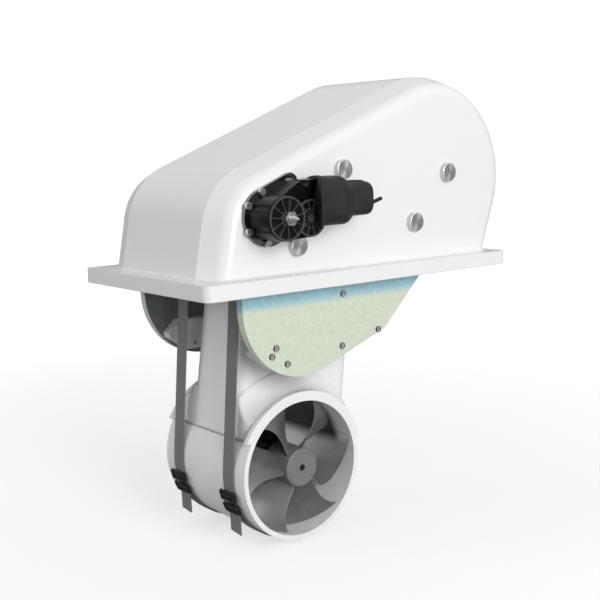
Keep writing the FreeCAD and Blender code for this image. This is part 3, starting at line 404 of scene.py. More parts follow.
def ribbed_plastic(colour):
    """Black plastic whose raised rib tops are painted paler as a painted highlight, unevenly: the piece's
    map gives the height.
    """
    finish = Finish("ribbed_plastic", colour, 0.4, coordinates="UV").set("Specular IOR Level", 0.18)
    wear_and_glint = finish.between(finish.noise(9.0), 0.5, 1.0)
    # Painted highlight on the rib tops, made uneven by the noise
    ridge_highlight = finish.maths("MULTIPLY", finish.between(finish.axes()["X"], 0.0, 1.0, 0.45, 0.95), wear_and_glint)
    finish.paint(ridge_highlight, shade(colour, 0.5), (0.085, 0.085, 0.085))
    finish.dull(wear_and_glint, 0.3, 0.5, 0.5, 1.0)
    finish.bump(finish.noise(60.0, 2.0), 0.0001, 0.3)


def rubber(colour):
    """Matte rubber with dusty patches and a soft grain."""
    finish = Finish("boot_rubber", colour, 0.62).set("Specular IOR Level", 0.2)
    dust = finish.patches(60.0, 4.0, 0.35, 0.75)
    finish.paint(dust, colour, shade(colour, 1.5))
    finish.dull(dust, 0.52, 0.75)
    finish.bump(finish.noise(1300.0, 2.0), 0.0001, 0.5)


def woven(colour):
    """Woven webbing: ribs across the strap and threads along it, from its own map in metres."""
    finish = Finish("webbing", colour, 0.85, coordinates="UV").set("Sheen Weight", 0.25)
    axes = finish.axes()
    ribs = finish.maths("SINE", finish.maths("MULTIPLY", axes["X"], 2 * math.pi / RIB_PITCH))
    threads = finish.maths("SINE", finish.maths("MULTIPLY", axes["Y"], 2 * math.pi / THREAD_PITCH))
    weave = finish.between(finish.maths("MULTIPLY", ribs, threads), 0.0, 1.0, -1.0, 1.0)
    fuzz = finish.noise(900.0)
    finish.paint(weave, shade(colour, 0.7), shade(colour, 1.35))
    finish.dull(fuzz, 0.75, 0.95)
    finish.bump(finish.maths("ADD", weave, finish.maths("MULTIPLY", fuzz, 0.4)), 0.0003, 0.8)


def solid_middles(node, reach):
    """The side-view middles of a node's separate solids, which lie farther apart than a reach."""
    mesh = frame["nodes"][node].data
    places = np.empty(len(mesh.vertices) * 3)
    mesh.vertices.foreach_get("co", places)
    places = places.reshape(-1, 3)[:, [0, 2]]
    middles = []
    left = np.ones(len(places), bool)
    while left.any():
        seed = places[left][0]
        group = left & (np.hypot(*(places - seed).T) < reach)
        middles.append(tuple((places[group].min(0) + places[group].max(0)) / 2))
        left &= ~group
    return middles


def make_finishes(scene):
    """Make every material of the object."""
    colours = scene.thruster_colours
    steel = colours.steel
    gelcoat("gelcoat", colours.gelcoat, roughness=0.22, coat=0.25, rounding=0.002, rim_rounding=0.002)
    gelcoat("rubbed_gelcoat", colours.gelcoat, roughness=0.5, coat=0.0, rounding=0.008, rim_rounding=0.0008)
    raw_laminate(colours.laminate)
    plate_laminate(colours.plate, colours.plate_shade_band, scene.thruster_sizes.shade_band_depth)
    turned_steel(steel, solid_middles("plate_bolts_near", reach=0.03))
    socket_steel(steel, solid_middles("plate_screws_near", reach=0.008))
    machined_metal("stainless", steel, roughness=0.28)
    machined_metal("gear_steel", shade(steel, 0.75), roughness=0.36)
    # Steel darkened as painted shade, for the screw deep in the hub's bore
    machined_metal("shaded_steel", shade(steel, 0.12), roughness=0.25)
    machined_metal("bronze", (0.52, 0.33, 0.13), roughness=0.34)
    machined_metal("bracket_metal", (0.22, 0.22, 0.225), roughness=0.15)
    moulded_plastic("stop_plastic", (0.62, 0.62, 0.60), roughness=0.5)
    moulded_plastic("case_plastic", colours.casing, roughness=0.3, gloss=0.12)
    moulded_plastic("buckle_plastic", (0.012, 0.012, 0.012), roughness=0.28)
    moulded_plastic("cast_grey", (0.014, 0.014, 0.015), roughness=0.5, gloss=0.15, grain=260.0,
                    relief=0.0003)
    moulded_plastic("sealant", (0.34, 0.33, 0.31), roughness=0.7)
    moulded_plastic("motor_paint", (0.03, 0.03, 0.032), roughness=0.4)
    rubber(colours.rubber)
    ribbed_plastic(colours.casing)
    woven(colours.webbing)
    blade_plastic(colours.propeller)


def dress(node, finish):
    """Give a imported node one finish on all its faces."""
    mesh = frame["nodes"][node].data
    mesh.materials.clear()
    mesh.materials.append(surface(finish))


class THRUSTER_OT_finishes(bpy.types.Operator):
    """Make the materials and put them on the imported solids"""

    bl_idname = "thruster.finishes"
    bl_label = "Finishes"

    def execute(self, context):
        make_finishes(context.scene)
        for part in frame["record"]["subparts"]:
            dress(part["node"], part["material_slot"])
        for side in ("near", "far"):
            dress("plate_bolts_" + side, "turned_steel")
            dress("plate_screws_" + side, "socket_steel")
        dress("leg_shell", "rubbed_gelcoat")
        # The propeller screw gets the painted shade of the hub's bore
        dress("propeller_screw", "shaded_steel")
        return {"FINISHED"}


def add_object(name, data):
    """A new object in the scene for a mesh, a curve, a lamp or a camera."""
    made = bpy.data.objects.new(name, data)
    bpy.context.scene.collection.objects.link(made)
    return made


def full_turn(count):
    """Evenly spaced angles round a full turn, as one row."""
    return np.linspace(0.0, 2 * math.pi, count, endpoint=False)[None, :]


def grid_faces(rows, columns):
    """Quads between neighbouring rows of a grid whose columns close on themselves, row by row."""
    row = np.arange(rows - 1)[:, None] * columns
    column = np.arange(columns)[None, :]
    after = (column + 1) % columns
    corners = (row + column, row + columns + column, row + columns + after, row + after)
    return np.stack(corners, axis=-1).reshape(-1, 4)


def closed_faces(grid, flipped):
    """The quads of a grid with one face over each end, all turned over where they are flipped."""
    rows, columns = grid.shape[:2]
    quads = grid_faces(rows, columns)
    first, last = np.arange(columns), np.arange((rows - 1) * columns, rows * columns)
    if flipped:
        return quads[:, ::-1].tolist() + [first.tolist(), last[::-1].tolist()]
    return quads.tolist() + [first[::-1].tolist(), last.tolist()]


def make_piece(name, parts, finish, body, replaced=()):
    """One mesh from several (points, faces, map) parts; it rides on a body and may stand for nodes."""
    points, faces, maps, first = [], [], [], 0
    for part_points, part_faces, part_map in parts:
        flat = part_points.reshape(-1, 3)
        points.append(flat)
        faces += [[first + k for k in face] for face in part_faces]
        maps.append(np.zeros((len(flat), 2)) if part_map is None else part_map.reshape(-1, 2))
        first += len(flat)
    mesh = bpy.data.meshes.new(name)
    mesh.from_pydata(np.concatenate(points).tolist(), [], faces)
    corners = np.empty(len(mesh.loops), int)
    mesh.loops.foreach_get("vertex_index", corners)
    layer = mesh.uv_layers.new(name="surface")
    layer.data.foreach_set("uv", np.concatenate(maps)[corners].ravel())
    mesh.polygons.foreach_set("use_smooth", np.ones(len(mesh.polygons), bool))
    mesh.materials.append(surface(finish))
    mesh.update()
    piece = add_object(name, mesh)
    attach(piece, body)
    if replaced:
        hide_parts(*replaced)
    return piece


def signed_power(value, exponent):
    """A value raised to a power with its sign kept: of a sine or cosine, under 1 it squares a circle off."""
    return np.sign(value) * np.abs(value) ** exponent


def rounded_block(centre, half, turn, exponent=0.32, rows=13, columns=28):
    """A superellipsoid: a box of given half sizes with soft edges, turned by a matrix of three columns.

    Each place is the half sizes times powers of the cosines and sines of a latitude and a longitude.
    """
    latitude = np.linspace(-math.pi / 2, math.pi / 2, rows)[:, None]
    longitude = full_turn(columns)
    ring = signed_power(np.cos(latitude), exponent)
    local = np.stack(np.broadcast_arrays(
        half[0] * ring * signed_power(np.cos(longitude), exponent),
        half[1] * ring * signed_power(np.sin(longitude), exponent),
        half[2] * signed_power(np.sin(latitude), exponent)), axis=-1)
    return local @ turn.T + centre, grid_faces(rows, columns).tolist(), None


def turned(outline, centre, axis, columns):
    """An outline of (place along the axis, radius) pairs turned about a line along X or Y."""
    outline, angle = np.asarray(outline), full_turn(columns)
    radius = outline[:, 1:]
    across, high, along = np.broadcast_arrays(radius * np.cos(angle), radius * np.sin(angle), outline[:, :1])
    parts = (across, along, high) if axis == "Y" else (along, across, high)
    grid = np.stack(parts, axis=-1) + centre
    faces = grid_faces(*across.shape)
    if axis == "X":
        faces = faces[:, ::-1]
    return grid, faces.tolist(), None


def smooth_step(value, start, end):
    """A rise from 0 to 1 between two values, level at both."""
    share = np.clip((value - start) / (end - start), 0.0, 1.0)
    return share * share * (3 - 2 * share)


# Webbing: the strap round the duct and the bar that it hangs from, in the leg's own frame
STRAP_RADIUS = 0.1003
STRAP_HALF = (0.012, 0.0009)
STRAP_MIDDLES = {"near": -0.072, "far": 0.048}
STRAP_BAR = (-0.109, 0.275)
STRAP_BAR_RADIUS = 0.0062
STRAP_END = math.radians(377.5)
STRAP_SEWN = 0.045
TAIL_START = math.radians(209.0)
TAIL_LENGTH = 0.041
TAIL_LIFT = 0.0021
TAIL_CURL = math.radians(2.0)
TAIL_SLANT = 0.12

# Ladder buckles; each cross bar has its place along the strap, half length, half height and lift
BUCKLE_ANGLES = (math.radians(201.0), math.radians(211.5))
BUCKLE_OUT = 0.1045
BUCKLE_BARS = ((-0.0056, 0.0014, 0.0017, 0.0), (-0.0012, 0.0019, 0.0014, 0.0009),
               (0.0047, 0.0020, 0.0026, 0.0006))
BUCKLE_HALF_WIDTH = 0.0150
BUCKLE_SIDE_HALF = (0.0070, 0.0016, 0.0026)
BUCKLE_SIDE_PLACE = 0.0143


def on_circle(radius, angle):
    """Places on a circle at some angles, in the leg's side view."""
    return radius * np.stack((np.cos(angle), np.sin(angle)), axis=-1)


def strap_line():
    """The strap's middle line: up from the sewn end, over the bar, down the front and round the duct."""
    bar = np.array(STRAP_BAR)
    lean = math.atan2(bar[1], bar[0])
    touch = lean + math.acos((STRAP_RADIUS - STRAP_BAR_RADIUS) / float(np.hypot(*bar)))
    loop = bar + on_circle(STRAP_BAR_RADIUS, np.linspace(touch - math.pi * 1.02, touch, 16))
    down = on_circle(STRAP_SEWN, touch - math.pi / 2)
    sewn = loop[0] + down * np.linspace(1.0, 0.0, 9)[:-1, None]
    arc = on_circle(STRAP_RADIUS, np.linspace(touch, STRAP_END, 72))
    run = loop[-1] + (arc[0] - loop[-1]) * np.linspace(0.0, 1.0, 40)[1:-1, None]
    return np.vstack((sewn, loop, run, arc))


def tail_line():
    """The loose end: it leaves the strap under the lower buckle and bends over to hang nearly plumb."""
    count = 22
    start = on_circle(STRAP_RADIUS + TAIL_LIFT, TAIL_START)
    heading = TAIL_START + math.pi / 2
    plumb = 1.5 * math.pi + LEG_TILT
    bend = smooth_step(np.linspace(0.0, 1.0, count), 0.0, 0.55)
    angles = heading + (plumb + TAIL_CURL - heading) * bend
    moves = on_circle(TAIL_LENGTH / (count - 1), angles[:-1])
    return np.vstack((start, start + np.cumsum(moves, axis=0)))


def webbing_part(line, middle, slant=0.0):
    """Webbing along a line in the leg's side view: a flat rounded section, mapped in metres.

    Each ring is the line's place, plus the section's width along Y and its thickness along the
    line's own normal. The last ring slants by its share of the width.
    """
    ahead = np.gradient(line, axis=0)
    ahead /= np.linalg.norm(ahead, axis=1)[:, None]
    path = leg_point(line[:, 0], middle, line[:, 1])
    normals = leg_point(ahead[:, 1], 0.0, -ahead[:, 0]) - leg_point(0.0, 0.0, 0.0)
    angle = full_turn(24)[0]
    section = np.stack((STRAP_HALF[0] * signed_power(np.cos(angle), 0.2),
                        STRAP_HALF[1] * signed_power(np.sin(angle), 0.7)), axis=-1)
    width = section[:, :1] * np.array([0.0, 1.0, 0.0])
    grid = path[:, None, :] + width + section[:, 1:] * normals[:, None, :]
    grid[-1, :, 2] += section[:, 0] * slant
    length = np.concatenate(([0.0], np.cumsum(np.linalg.norm(np.diff(line, axis=0), axis=1))))
    strap_map = np.stack(np.broadcast_arrays(length[:, None], section[None, :, 0]), axis=-1)
    return grid, closed_faces(grid, flipped=True), strap_map


class THRUSTER_OT_straps(bpy.types.Operator):
    """Weave the two straps with their sewn loops over the bar and their loose ends"""

    bl_idname = "thruster.straps"
    bl_label = "Straps"

    def execute(self, context):
        for side, middle in STRAP_MIDDLES.items():
            parts = [webbing_part(strap_line(), middle), webbing_part(tail_line(), middle, TAIL_SLANT)]
            make_piece("webbing_" + side, parts, "webbing", "leg", ("strap_" + side,))
        return {"FINISHED"}


def buckle_parts(angle, middle):
    """A ladder buckle at an angle round the duct: cross bars over the strap between two side bars.

    The matrix that turns each bar holds the directions round the duct, along it and out from it.
    """
    origin = leg_point(0.0, 0.0, 0.0)
    out = leg_point(np.cos(angle), 0.0, np.sin(angle)) - origin
    around = leg_point(-np.sin(angle), 0.0, np.cos(angle)) - origin
    turn = np.stack((around, [0.0, 1.0, 0.0], out), axis=-1)
    place = leg_point(0.0, middle, 0.0) + out * BUCKLE_OUT
    parts = []
    for shift, half_length, half_height, lift in BUCKLE_BARS:
        half = (half_length, BUCKLE_HALF_WIDTH, half_height)
        parts.append(rounded_block(place + around * shift + out * lift, half, turn))
    for y in (-BUCKLE_SIDE_PLACE, BUCKLE_SIDE_PLACE):
        parts.append(rounded_block(place + np.array([0.0, y, 0.0]), BUCKLE_SIDE_HALF, turn))
    return parts


class THRUSTER_OT_buckles(bpy.types.Operator):
    """Mould the ladder buckles: a frame of rounded bars with a raised lip"""

    bl_idname = "thruster.buckles"
    bl_label = "Buckles"

    def execute(self, context):
        for side, middle in STRAP_MIDDLES.items():
            parts = [part for angle in BUCKLE_ANGLES for part in buckle_parts(angle, middle)]
            make_piece("ladder_buckles_" + side, parts, "buckle_plastic", "leg",
                       ("buckles_" + side,))
        return {"FINISHED"}


# Lifting motor: its line lies along X, at this Y and Z, just off the wall
MOTOR_LINE = (-0.165, 0.113)

# Rubber boot: its half sizes at the gear end and at the rear, and where each side narrows along X
BOOT_FRONT, BOOT_REAR = -0.108, -0.030
BOOT_HALF = (0.032, 0.0235)
BOOT_TOP_STEP = (-0.084, -0.072)
BOOT_BOTTOM_STEP = (-0.076, -0.058)
BOOT_SIDE_STEP = (-0.086, -0.064)
BOOT_LIP = 0.020
BOOT_CLOSING, BOOT_TAPER = 0.915, 0.24
BOOT_INSET = 0.0011

# Beads round the boot's front edge: place behind the edge and height, with one width for both
BOOT_BEADS = ((0.0018, 0.0010), (0.0050, -0.0005))
BEAD_WIDTH = 0.0013

# Lid on top of the boot's rear part: where it rises and falls along X, and where it ends to each side
LID_RISE, LID_FALL, LID_SIDE = (-0.068, -0.066), (-0.041, -0.039), (0.010, 0.0125)
LID_HEIGHT = 0.0016


def boot_surface():
    """The rubber boot: squared rounds along the motor, wide over the gear end, then a narrower rear.

    The half height above and below the motor's line falls by smooth steps at different places, and
    a low lid stands on top of the rear part. The front edge runs forward where it stands farthest
    from the wall, as far as the lip's share of that distance. The rear end rounds in by its taper, as
    a quarter of an ellipse, to a flat face.
    """
    closing_turn = np.sin(np.linspace(0.1, math.pi / 2, 12))
    share = np.concatenate((np.linspace(0.0, BOOT_CLOSING, 66),
                            BOOT_CLOSING + (1 - BOOT_CLOSING) * closing_turn))[:, None]
    straight = BOOT_FRONT + (BOOT_REAR - BOOT_FRONT) * share
    angle = full_turn(120)
    past = np.clip((share - BOOT_CLOSING) / (1 - BOOT_CLOSING), 0.0, 1.0)
    inner = 1 - BOOT_TAPER * (1 - np.sqrt(1 - past ** 2))
    wide, slim = BOOT_HALF
    cosine, sine = signed_power(np.cos(angle), 0.6), signed_power(np.sin(angle), 0.6)
    x = straight - BOOT_LIP * np.clip(-cosine, 0.0, 1.0) * (1 - share) ** 1.5
    top = wide - (wide - slim) * smooth_step(x, *BOOT_TOP_STEP)
    bottom = wide - (wide - slim + 0.001) * smooth_step(x, *BOOT_BOTTOM_STEP)
    side = wide - (wide - slim) * smooth_step(x, *BOOT_SIDE_STEP)
    bead = sum(height * np.exp(-((straight - BOOT_FRONT - place) / BEAD_WIDTH) ** 2)
               for place, height in BOOT_BEADS)
    upper = np.sin(angle) > 0
    y = (side * inner + bead - BOOT_INSET) * cosine
    z = (np.where(upper, top, bottom) * inner + bead - BOOT_INSET) * sine
    lid = smooth_step(x, *LID_RISE) * (1 - smooth_step(x, *LID_FALL))
    lid = lid * (1 - smooth_step(np.abs(y), *LID_SIDE))
    z = z + LID_HEIGHT * lid * upper
    grid = np.stack(np.broadcast_arrays(x, y + MOTOR_LINE[0], z + MOTOR_LINE[1]), axis=-1)
    middle = grid[0].mean(axis=0)
    front_rings = middle + (grid[:1] - middle) * np.array([0.02, 0.35, 0.7, 0.94])[:, None, None]
    grid = np.concatenate((front_rings, grid))
    return grid, closed_faces(grid, flipped=True), None


# Boot's nipple as (X, radius) pairs about its own line, and the short cut lead that comes out of it
NIPPLE_LINE = (0.0, -0.165, 0.1042)
NIPPLE_PROFILE = ((-0.036, 0.0058), (-0.032, 0.0055), (-0.029, 0.0043), (-0.0257, 0.0034),
                  (-0.0247, 0.0030), (-0.0247, 0.0024))
LEAD_ROUTE = ((-0.030, -0.165, 0.1040), (-0.024, -0.165, 0.1044), (-0.017, -0.1651, 0.1060),
              (-0.009, -0.1652, 0.1083), (0.0005, -0.1653, 0.1112))
LEAD_DIAMETER = 0.005


def lead_curve():
    """The lead as a round curve through its route, with capped ends."""
    curve = bpy.data.curves.new("cut_lead", "CURVE")
    curve.dimensions = "3D"
    curve.bevel_depth = LEAD_DIAMETER / 2
    curve.bevel_resolution = 6
    curve.resolution_u = 12
    curve.use_fill_caps = True
    spline = curve.splines.new("NURBS")
    spline.points.add(len(LEAD_ROUTE) - 1)
    spline.points.foreach_set("co", np.hstack((LEAD_ROUTE, np.ones((len(LEAD_ROUTE), 1)))).ravel())
    spline.order_u = 3
    spline.use_endpoint_u = True
    curve.materials.append(surface("boot_rubber"))
    return curve


class THRUSTER_OT_motor(bpy.types.Operator):
    """Pull the rubber boot over the lifting motor, with its nipple and the cut lead"""

    bl_idname = "thruster.motor"
    bl_label = "Motor boot and lead"

    def execute(self, context):
        parts = [boot_surface(), turned(NIPPLE_PROFILE, NIPPLE_LINE, "X", 32)]
        make_piece("rubber_boot", parts, "boot_rubber", "housing", ("lift_motor_boot",))
        lead = add_object("cut_lead", lead_curve())
        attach(lead, "housing")
        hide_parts("motor_lead")
        return {"FINISHED"}


# Gear case's round covers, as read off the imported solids: middle, radius, face, ribs and middle ring.
# Rings have a share of the radius and a half width: the hub's, the rim's and the middle one's width
CASE_ROUNDS = {"front": ((-0.169, 0.095), 0.0275, -0.1782, 11, 0.30),
               "rear": ((-0.125, 0.093), 0.0235, -0.1702, 12, 0.52)}
FIRST_RIB = 0.2
RIB_HALF_WIDTH = (0.00045, 0.0010)
RIB_HEIGHT = 0.0026
HUB_RING, RIM_RING, MIDDLE_RING_WIDTH = (0.14, 0.0014), (0.95, 0.0010), 0.0003
RING_EDGE = 0.0006
FLOOR_DIP = 0.0008
SKIRT_DEPTH = 0.003

# Cone on the output shaft's end, as (place, radius) pairs from the shaft's own end
SHAFT_CONE = ((-0.0109, 0.0001), (-0.0105, 0.0012), (-0.0036, 0.0030), (-0.0030, 0.0038),
              (-0.0002, 0.0042), (0.0002, 0.0046), (0.004, 0.0046), (0.004, 0.0001))


def ribbed_relief(middle, radius, face, ribs, ring_share):
    """A round cover: thin ribs from hub to rim, two thin rings, sunken floors between them.

    The height at each place is the highest of the rim, the rings and the ribs, each a flat top
    with steep smooth sides; the floor dips a little towards the hub. The angle from the nearest rib
    is what is left of the angle over a whole number of pitches.
    """
    share = np.concatenate(([0.004], np.linspace(0.03, 1.0, 54)))[:, None]
    angle = full_turn(26 * ribs)
    distance = radius * share
    pitch = 2 * math.pi / ribs
    from_rib = np.abs((angle - FIRST_RIB + pitch / 2) % pitch - pitch / 2)
    rib = 1 - smooth_step(from_rib * distance, *RIB_HALF_WIDTH)
    rings = [1 - smooth_step(np.abs(distance - radius * place), width, width + RING_EDGE)
             for place, width in (HUB_RING, (ring_share, MIDDLE_RING_WIDTH), RIM_RING)]
    height = np.maximum.reduce(np.broadcast_arrays(rib * 0.9, *rings))
    y = face - RIB_HEIGHT * height + FLOOR_DIP * (1 - height) * (1 - share)
    y = np.concatenate((y, np.full_like(y[-1:], face + SKIRT_DEPTH)))
    height = np.concatenate((height, np.zeros_like(height[-1:])))
    distance = np.concatenate((distance, distance[-1:]))
    grid = np.stack((middle[0] + distance * np.cos(angle), y, middle[1] + distance * np.sin(angle)), axis=-1)
    cover_map = np.stack(np.broadcast_arrays(height, angle), axis=-1)
    return grid, closed_faces(grid, flipped=False), cover_map


class THRUSTER_OT_case(bpy.types.Operator):
    """Cover the gear case with its thin ribs and rings, and point the shaft's end"""

    bl_idname = "thruster.case"
    bl_label = "Gear case ribs"

    def execute(self, context):
        for name, sizes in CASE_ROUNDS.items():
            cover = ribbed_relief(*sizes)
            make_piece("case_ribs_" + name, [cover], "ribbed_plastic", "housing")
        low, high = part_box("output_shaft")
        shaft_end = ((low[0] + high[0]) / 2, low[1], (low[2] + high[2]) / 2)
        cone = turned(SHAFT_CONE, shaft_end, "Y", 40)
        make_piece("shaft_point", [cone], "stainless", "lift_output")
        return {"FINISHED"}


# Seam between the leg's moulding and the duct's lower half, in the leg's own frame
SEAM_HEIGHT = 0.038
SEAM_REACH = 0.0914
SEAM_SPAN = (-0.1056, 0.0816)


def seam_part(side):
    """A thin bead of sealant along one side of the duct: its width and place waver a little.

    The half width is a sum of three sines along the seam, and the height follows a fourth.
    """
    y = np.linspace(*SEAM_SPAN, 160)[:, None]
    waver = np.sin(y * 210.0 + side) + 0.7 * np.sin(y * 470.0 + 2 * side) + 0.5 * np.sin(y * 1130.0)
    half = 0.00055 + 0.00018 * waver
    height = SEAM_HEIGHT + 0.00025 * np.sin(y * 330.0 + 1.3 * side)
    angle = full_turn(12)
    across = side * (SEAM_REACH + 0.0004 + 0.0009 * np.cos(angle))
    grid = leg_point(across, y, height + half * np.sin(angle))
    return grid, closed_faces(grid, flipped=side < 0), None


class THRUSTER_OT_seam(bpy.types.Operator):
    """Run the sealant bead along both sides of the duct where its halves meet"""

    bl_idname = "thruster.seam"
    bl_label = "Sealant seam"

    def execute(self, context):
        parts = [seam_part(side) for side in (-1.0, 1.0)]
        make_piece("seam_sealant", parts, "sealant", "leg")
        return {"FINISHED"}


# Propeller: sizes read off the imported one
HUB_RADIUS = 0.0265
HUB_HOLE = 0.0042
TIP_RADIUS = 0.090
HUB_NEAR, HUB_FAR = -0.104, -0.052
BLADE_NEAR = -0.100
BLADE_DEPTH = 0.038
BLADE_THICKNESS = 0.0042
ROOT_SWELL = 0.004
BLADE_SWEEP = math.radians(52.0)
BLADE_HOLLOW = math.radians(8.0)
FIRST_BLADE = math.radians(22.0)
SHARP_ANGLE = math.radians(38.0)

# Hub's near side as (place behind its face, radius) pairs, and the radius of its rounded edge
HUB_FACE = ((0.008, 0.0001), (0.008, HUB_HOLE), (0.0006, HUB_HOLE), (0.0, 0.0048), (0.0, 0.0218),
            (0.0005, 0.0222), (0.0005, 0.0230), (0.0002, 0.0236))
HUB_CORNER = 0.0028
HUB_BEVEL = 0.001


def blade_surface(start):
    """One blade: a helical sheet that winds back by its sweep over its depth, as a closed lens section.

    Along the chord the sheet turns by sweep times share and goes back by depth times share. The share
    is cut short at mid-span and rounded off at the rear tip, and the lens swells into the hub. The front
    edge is hollowed at mid-span by an angle, and the rear edge bows out by two fifths of it.
    """
    outer = np.sin(np.linspace(0.0, math.pi / 2, 36))
    span = np.concatenate((np.linspace(-0.06, -0.01, 3), outer))[:, None]
    radius = HUB_RADIUS + (TIP_RADIUS - HUB_RADIUS) * span
    inside = np.clip(span, 0.0, 1.0)
    corner = np.clip((inside - 0.80) / 0.20, 0.0, 1.0)
    reach = 1.06 - 0.10 * np.sin(math.pi * inside) - 0.26 * (1 - np.sqrt(1 - corner ** 2 * 0.999))
    loop = full_turn(48)
    share = (1 - np.cos(loop)) / 2 * reach
    lens = BLADE_THICKNESS * (1.05 - 0.6 * inside) * signed_power(np.sin(loop), 0.6)
    swell = ROOT_SWELL * np.exp(-(inside / 0.09) ** 1.2) * signed_power(np.sin(loop), 0.5)
    bulge = (lens + swell) / 2
    pitch = np.arctan2(BLADE_DEPTH, radius * BLADE_SWEEP)
    hollow = BLADE_HOLLOW * 4 * inside * (1 - inside) * (1 - 1.4 * share)
    angle = start - BLADE_SWEEP * share - hollow + bulge * np.sin(pitch) / radius
    depth = BLADE_NEAR + BLADE_DEPTH * share + bulge * np.cos(pitch) + 0.003 * (1 - share) * (1 - inside)
    grid = leg_point(radius * np.cos(angle), depth, radius * np.sin(angle))
    rows, columns = grid.shape[:2]
    step = np.arange(columns // 2)
    strip = np.stack(((columns - step) % columns, step, step + 1, columns - step - 1), axis=-1)
    ends = [list(dict.fromkeys(corners)) for corners in strip.tolist()]
    faces = grid_faces(rows, columns).tolist() + [corners[::-1] for corners in ends]
    faces += [[(rows - 1) * columns + k for k in corners] for corners in ends]
    return grid, faces, None


def hub_part():
    """The hub: a flat face with a rounded edge, a shallow ring, a bored middle and a bevelled back."""
    turn = np.linspace(0.0, math.pi / 2, 7)
    edge = np.stack((HUB_FACE[-1][0] + HUB_CORNER * (1 - np.cos(turn)),
                     HUB_RADIUS - HUB_CORNER * (1 - np.sin(turn))), axis=-1)
    back = [(HUB_FAR - HUB_BEVEL, HUB_RADIUS), (HUB_FAR, HUB_RADIUS - HUB_BEVEL), (HUB_FAR, 0.0001)]
    outline = np.vstack((np.vstack((HUB_FACE, edge)) + (HUB_NEAR, 0.0), back))
    grid, faces, _ = turned(outline, (0.0, 0.0, 0.0), "Y", 96)
    return leg_point(*grid.reshape(-1, 3).T), faces, None


class THRUSTER_OT_propeller(bpy.types.Operator):
    """Mould the propeller: hub and six swept blades"""

    bl_idname = "thruster.propeller"
    bl_label = "Propeller"

    blades: IntProperty(name="Blades", description="Number of blades", default=6, min=2, max=9)

    def execute(self, context):
        starts = FIRST_BLADE + 2 * math.pi * np.arange(self.blades) / self.blades
        parts = [hub_part()] + [blade_surface(start) for start in starts]
        piece = make_piece("swept_propeller", parts, "propeller_plastic", "propeller",
                           ("propeller",))
        piece.data.set_sharp_from_angle(angle=SHARP_ANGLE)
        return {"FINISHED"}


# Studio's greys by height, from straight down at 0 to straight up at 1: for light, and for reflections
LIGHT_GREYS = ((0.0, 0.45), (0.42, 1.0), (0.6, 0.95), (0.8, 0.68), (1.0, 0.55))
MIRROR_GREYS = ((0.0, 0.2), (0.46, 0.28), (0.6, 0.5), (0.72, 1.0))

# Floor: its half size, its gap under the duct, and how its lift for the camera grows with distance
FLOOR_REACH = 6.0
FLOOR_GAP = 0.004
FLOOR_COLOUR = (0.5, 0.5, 0.5, 1.0)
LIFT_SPAN = (0.5, 2.6)
LIFT_GROWTH = 0.32

# Lamps: place, the point that they face, and size
KEY_LAMP = ((-0.55, -4.35, 1.3), (0.0, 0.0, -0.05), 2.4)
SIDE_LAMP = ((-3.6, 2.3, 0.85), (0.0, 0.0, -0.15), 1.3)

# Camera: where it stands, and which way it looks, turned about the object and rolled a little
CAMERA_PLACE = (-0.9375, -1.1483, 0.1792)
CAMERA_AZIMUTH = math.radians(-39.02)
CAMERA_ELEVATION = math.radians(8.44)
CAMERA_ROLL = math.radians(-1.36)
CAMERA_LENS = 61.5
CAMERA_SENSOR = 36.0
CAMERA_CLIP = 0.05


def studio_world(scene, level):
    """A studio whose ceiling and walls glow evenly; the camera sees plain white.

    Light falls off a little overhead and below. Reflections see a white ceiling over greyer walls.
    """
    world = bpy.data.worlds.new("studio")
    world.use_nodes = True
    tree = world.node_tree
    tree.nodes.clear()
    direction = add_node(tree, "ShaderNodeTexCoord", {}).outputs["Generated"]
    upward = add_node(tree, "ShaderNodeSeparateXYZ", {"Vector": direction}).outputs["Z"]
    height = add_node(tree, "ShaderNodeMapRange", {"Value": upward, "From Min": -1.0}).outputs["Result"]

    def background(colour, strength):
        """One even background."""
        return add_node(tree, "ShaderNodeBackground", {"Color": colour, "Strength": strength}).outputs[0]

    def by_height(greys):
        """A colour that changes with the height of the direction."""
        made = add_node(tree, "ShaderNodeValToRGB", {"Fac": height})
        stops = made.color_ramp.elements
        while len(stops) < len(greys):
            stops.new(0.5)
        for stop, (place, grey) in zip(stops, greys):
            stop.position = place
            stop.color = (grey, grey, grey, 1.0)
        return made.outputs["Color"]

    light = background(by_height(LIGHT_GREYS), level)
    mirror = background(by_height(MIRROR_GREYS), 1.0)
    white = background((1.0, 1.0, 1.0, 1.0), 1.0)
    path = add_node(tree, "ShaderNodeLightPath", {}).outputs
    for ray, seen in (("Is Glossy Ray", mirror), ("Is Transmission Ray", white),
                      ("Is Camera Ray", white)):
        light = add_node(tree, "ShaderNodeMixShader", {0: path[ray], 1: light, 2: seen}).outputs[0]
    add_node(tree, "ShaderNodeOutputWorld", {"Surface": light})
    scene.world = world


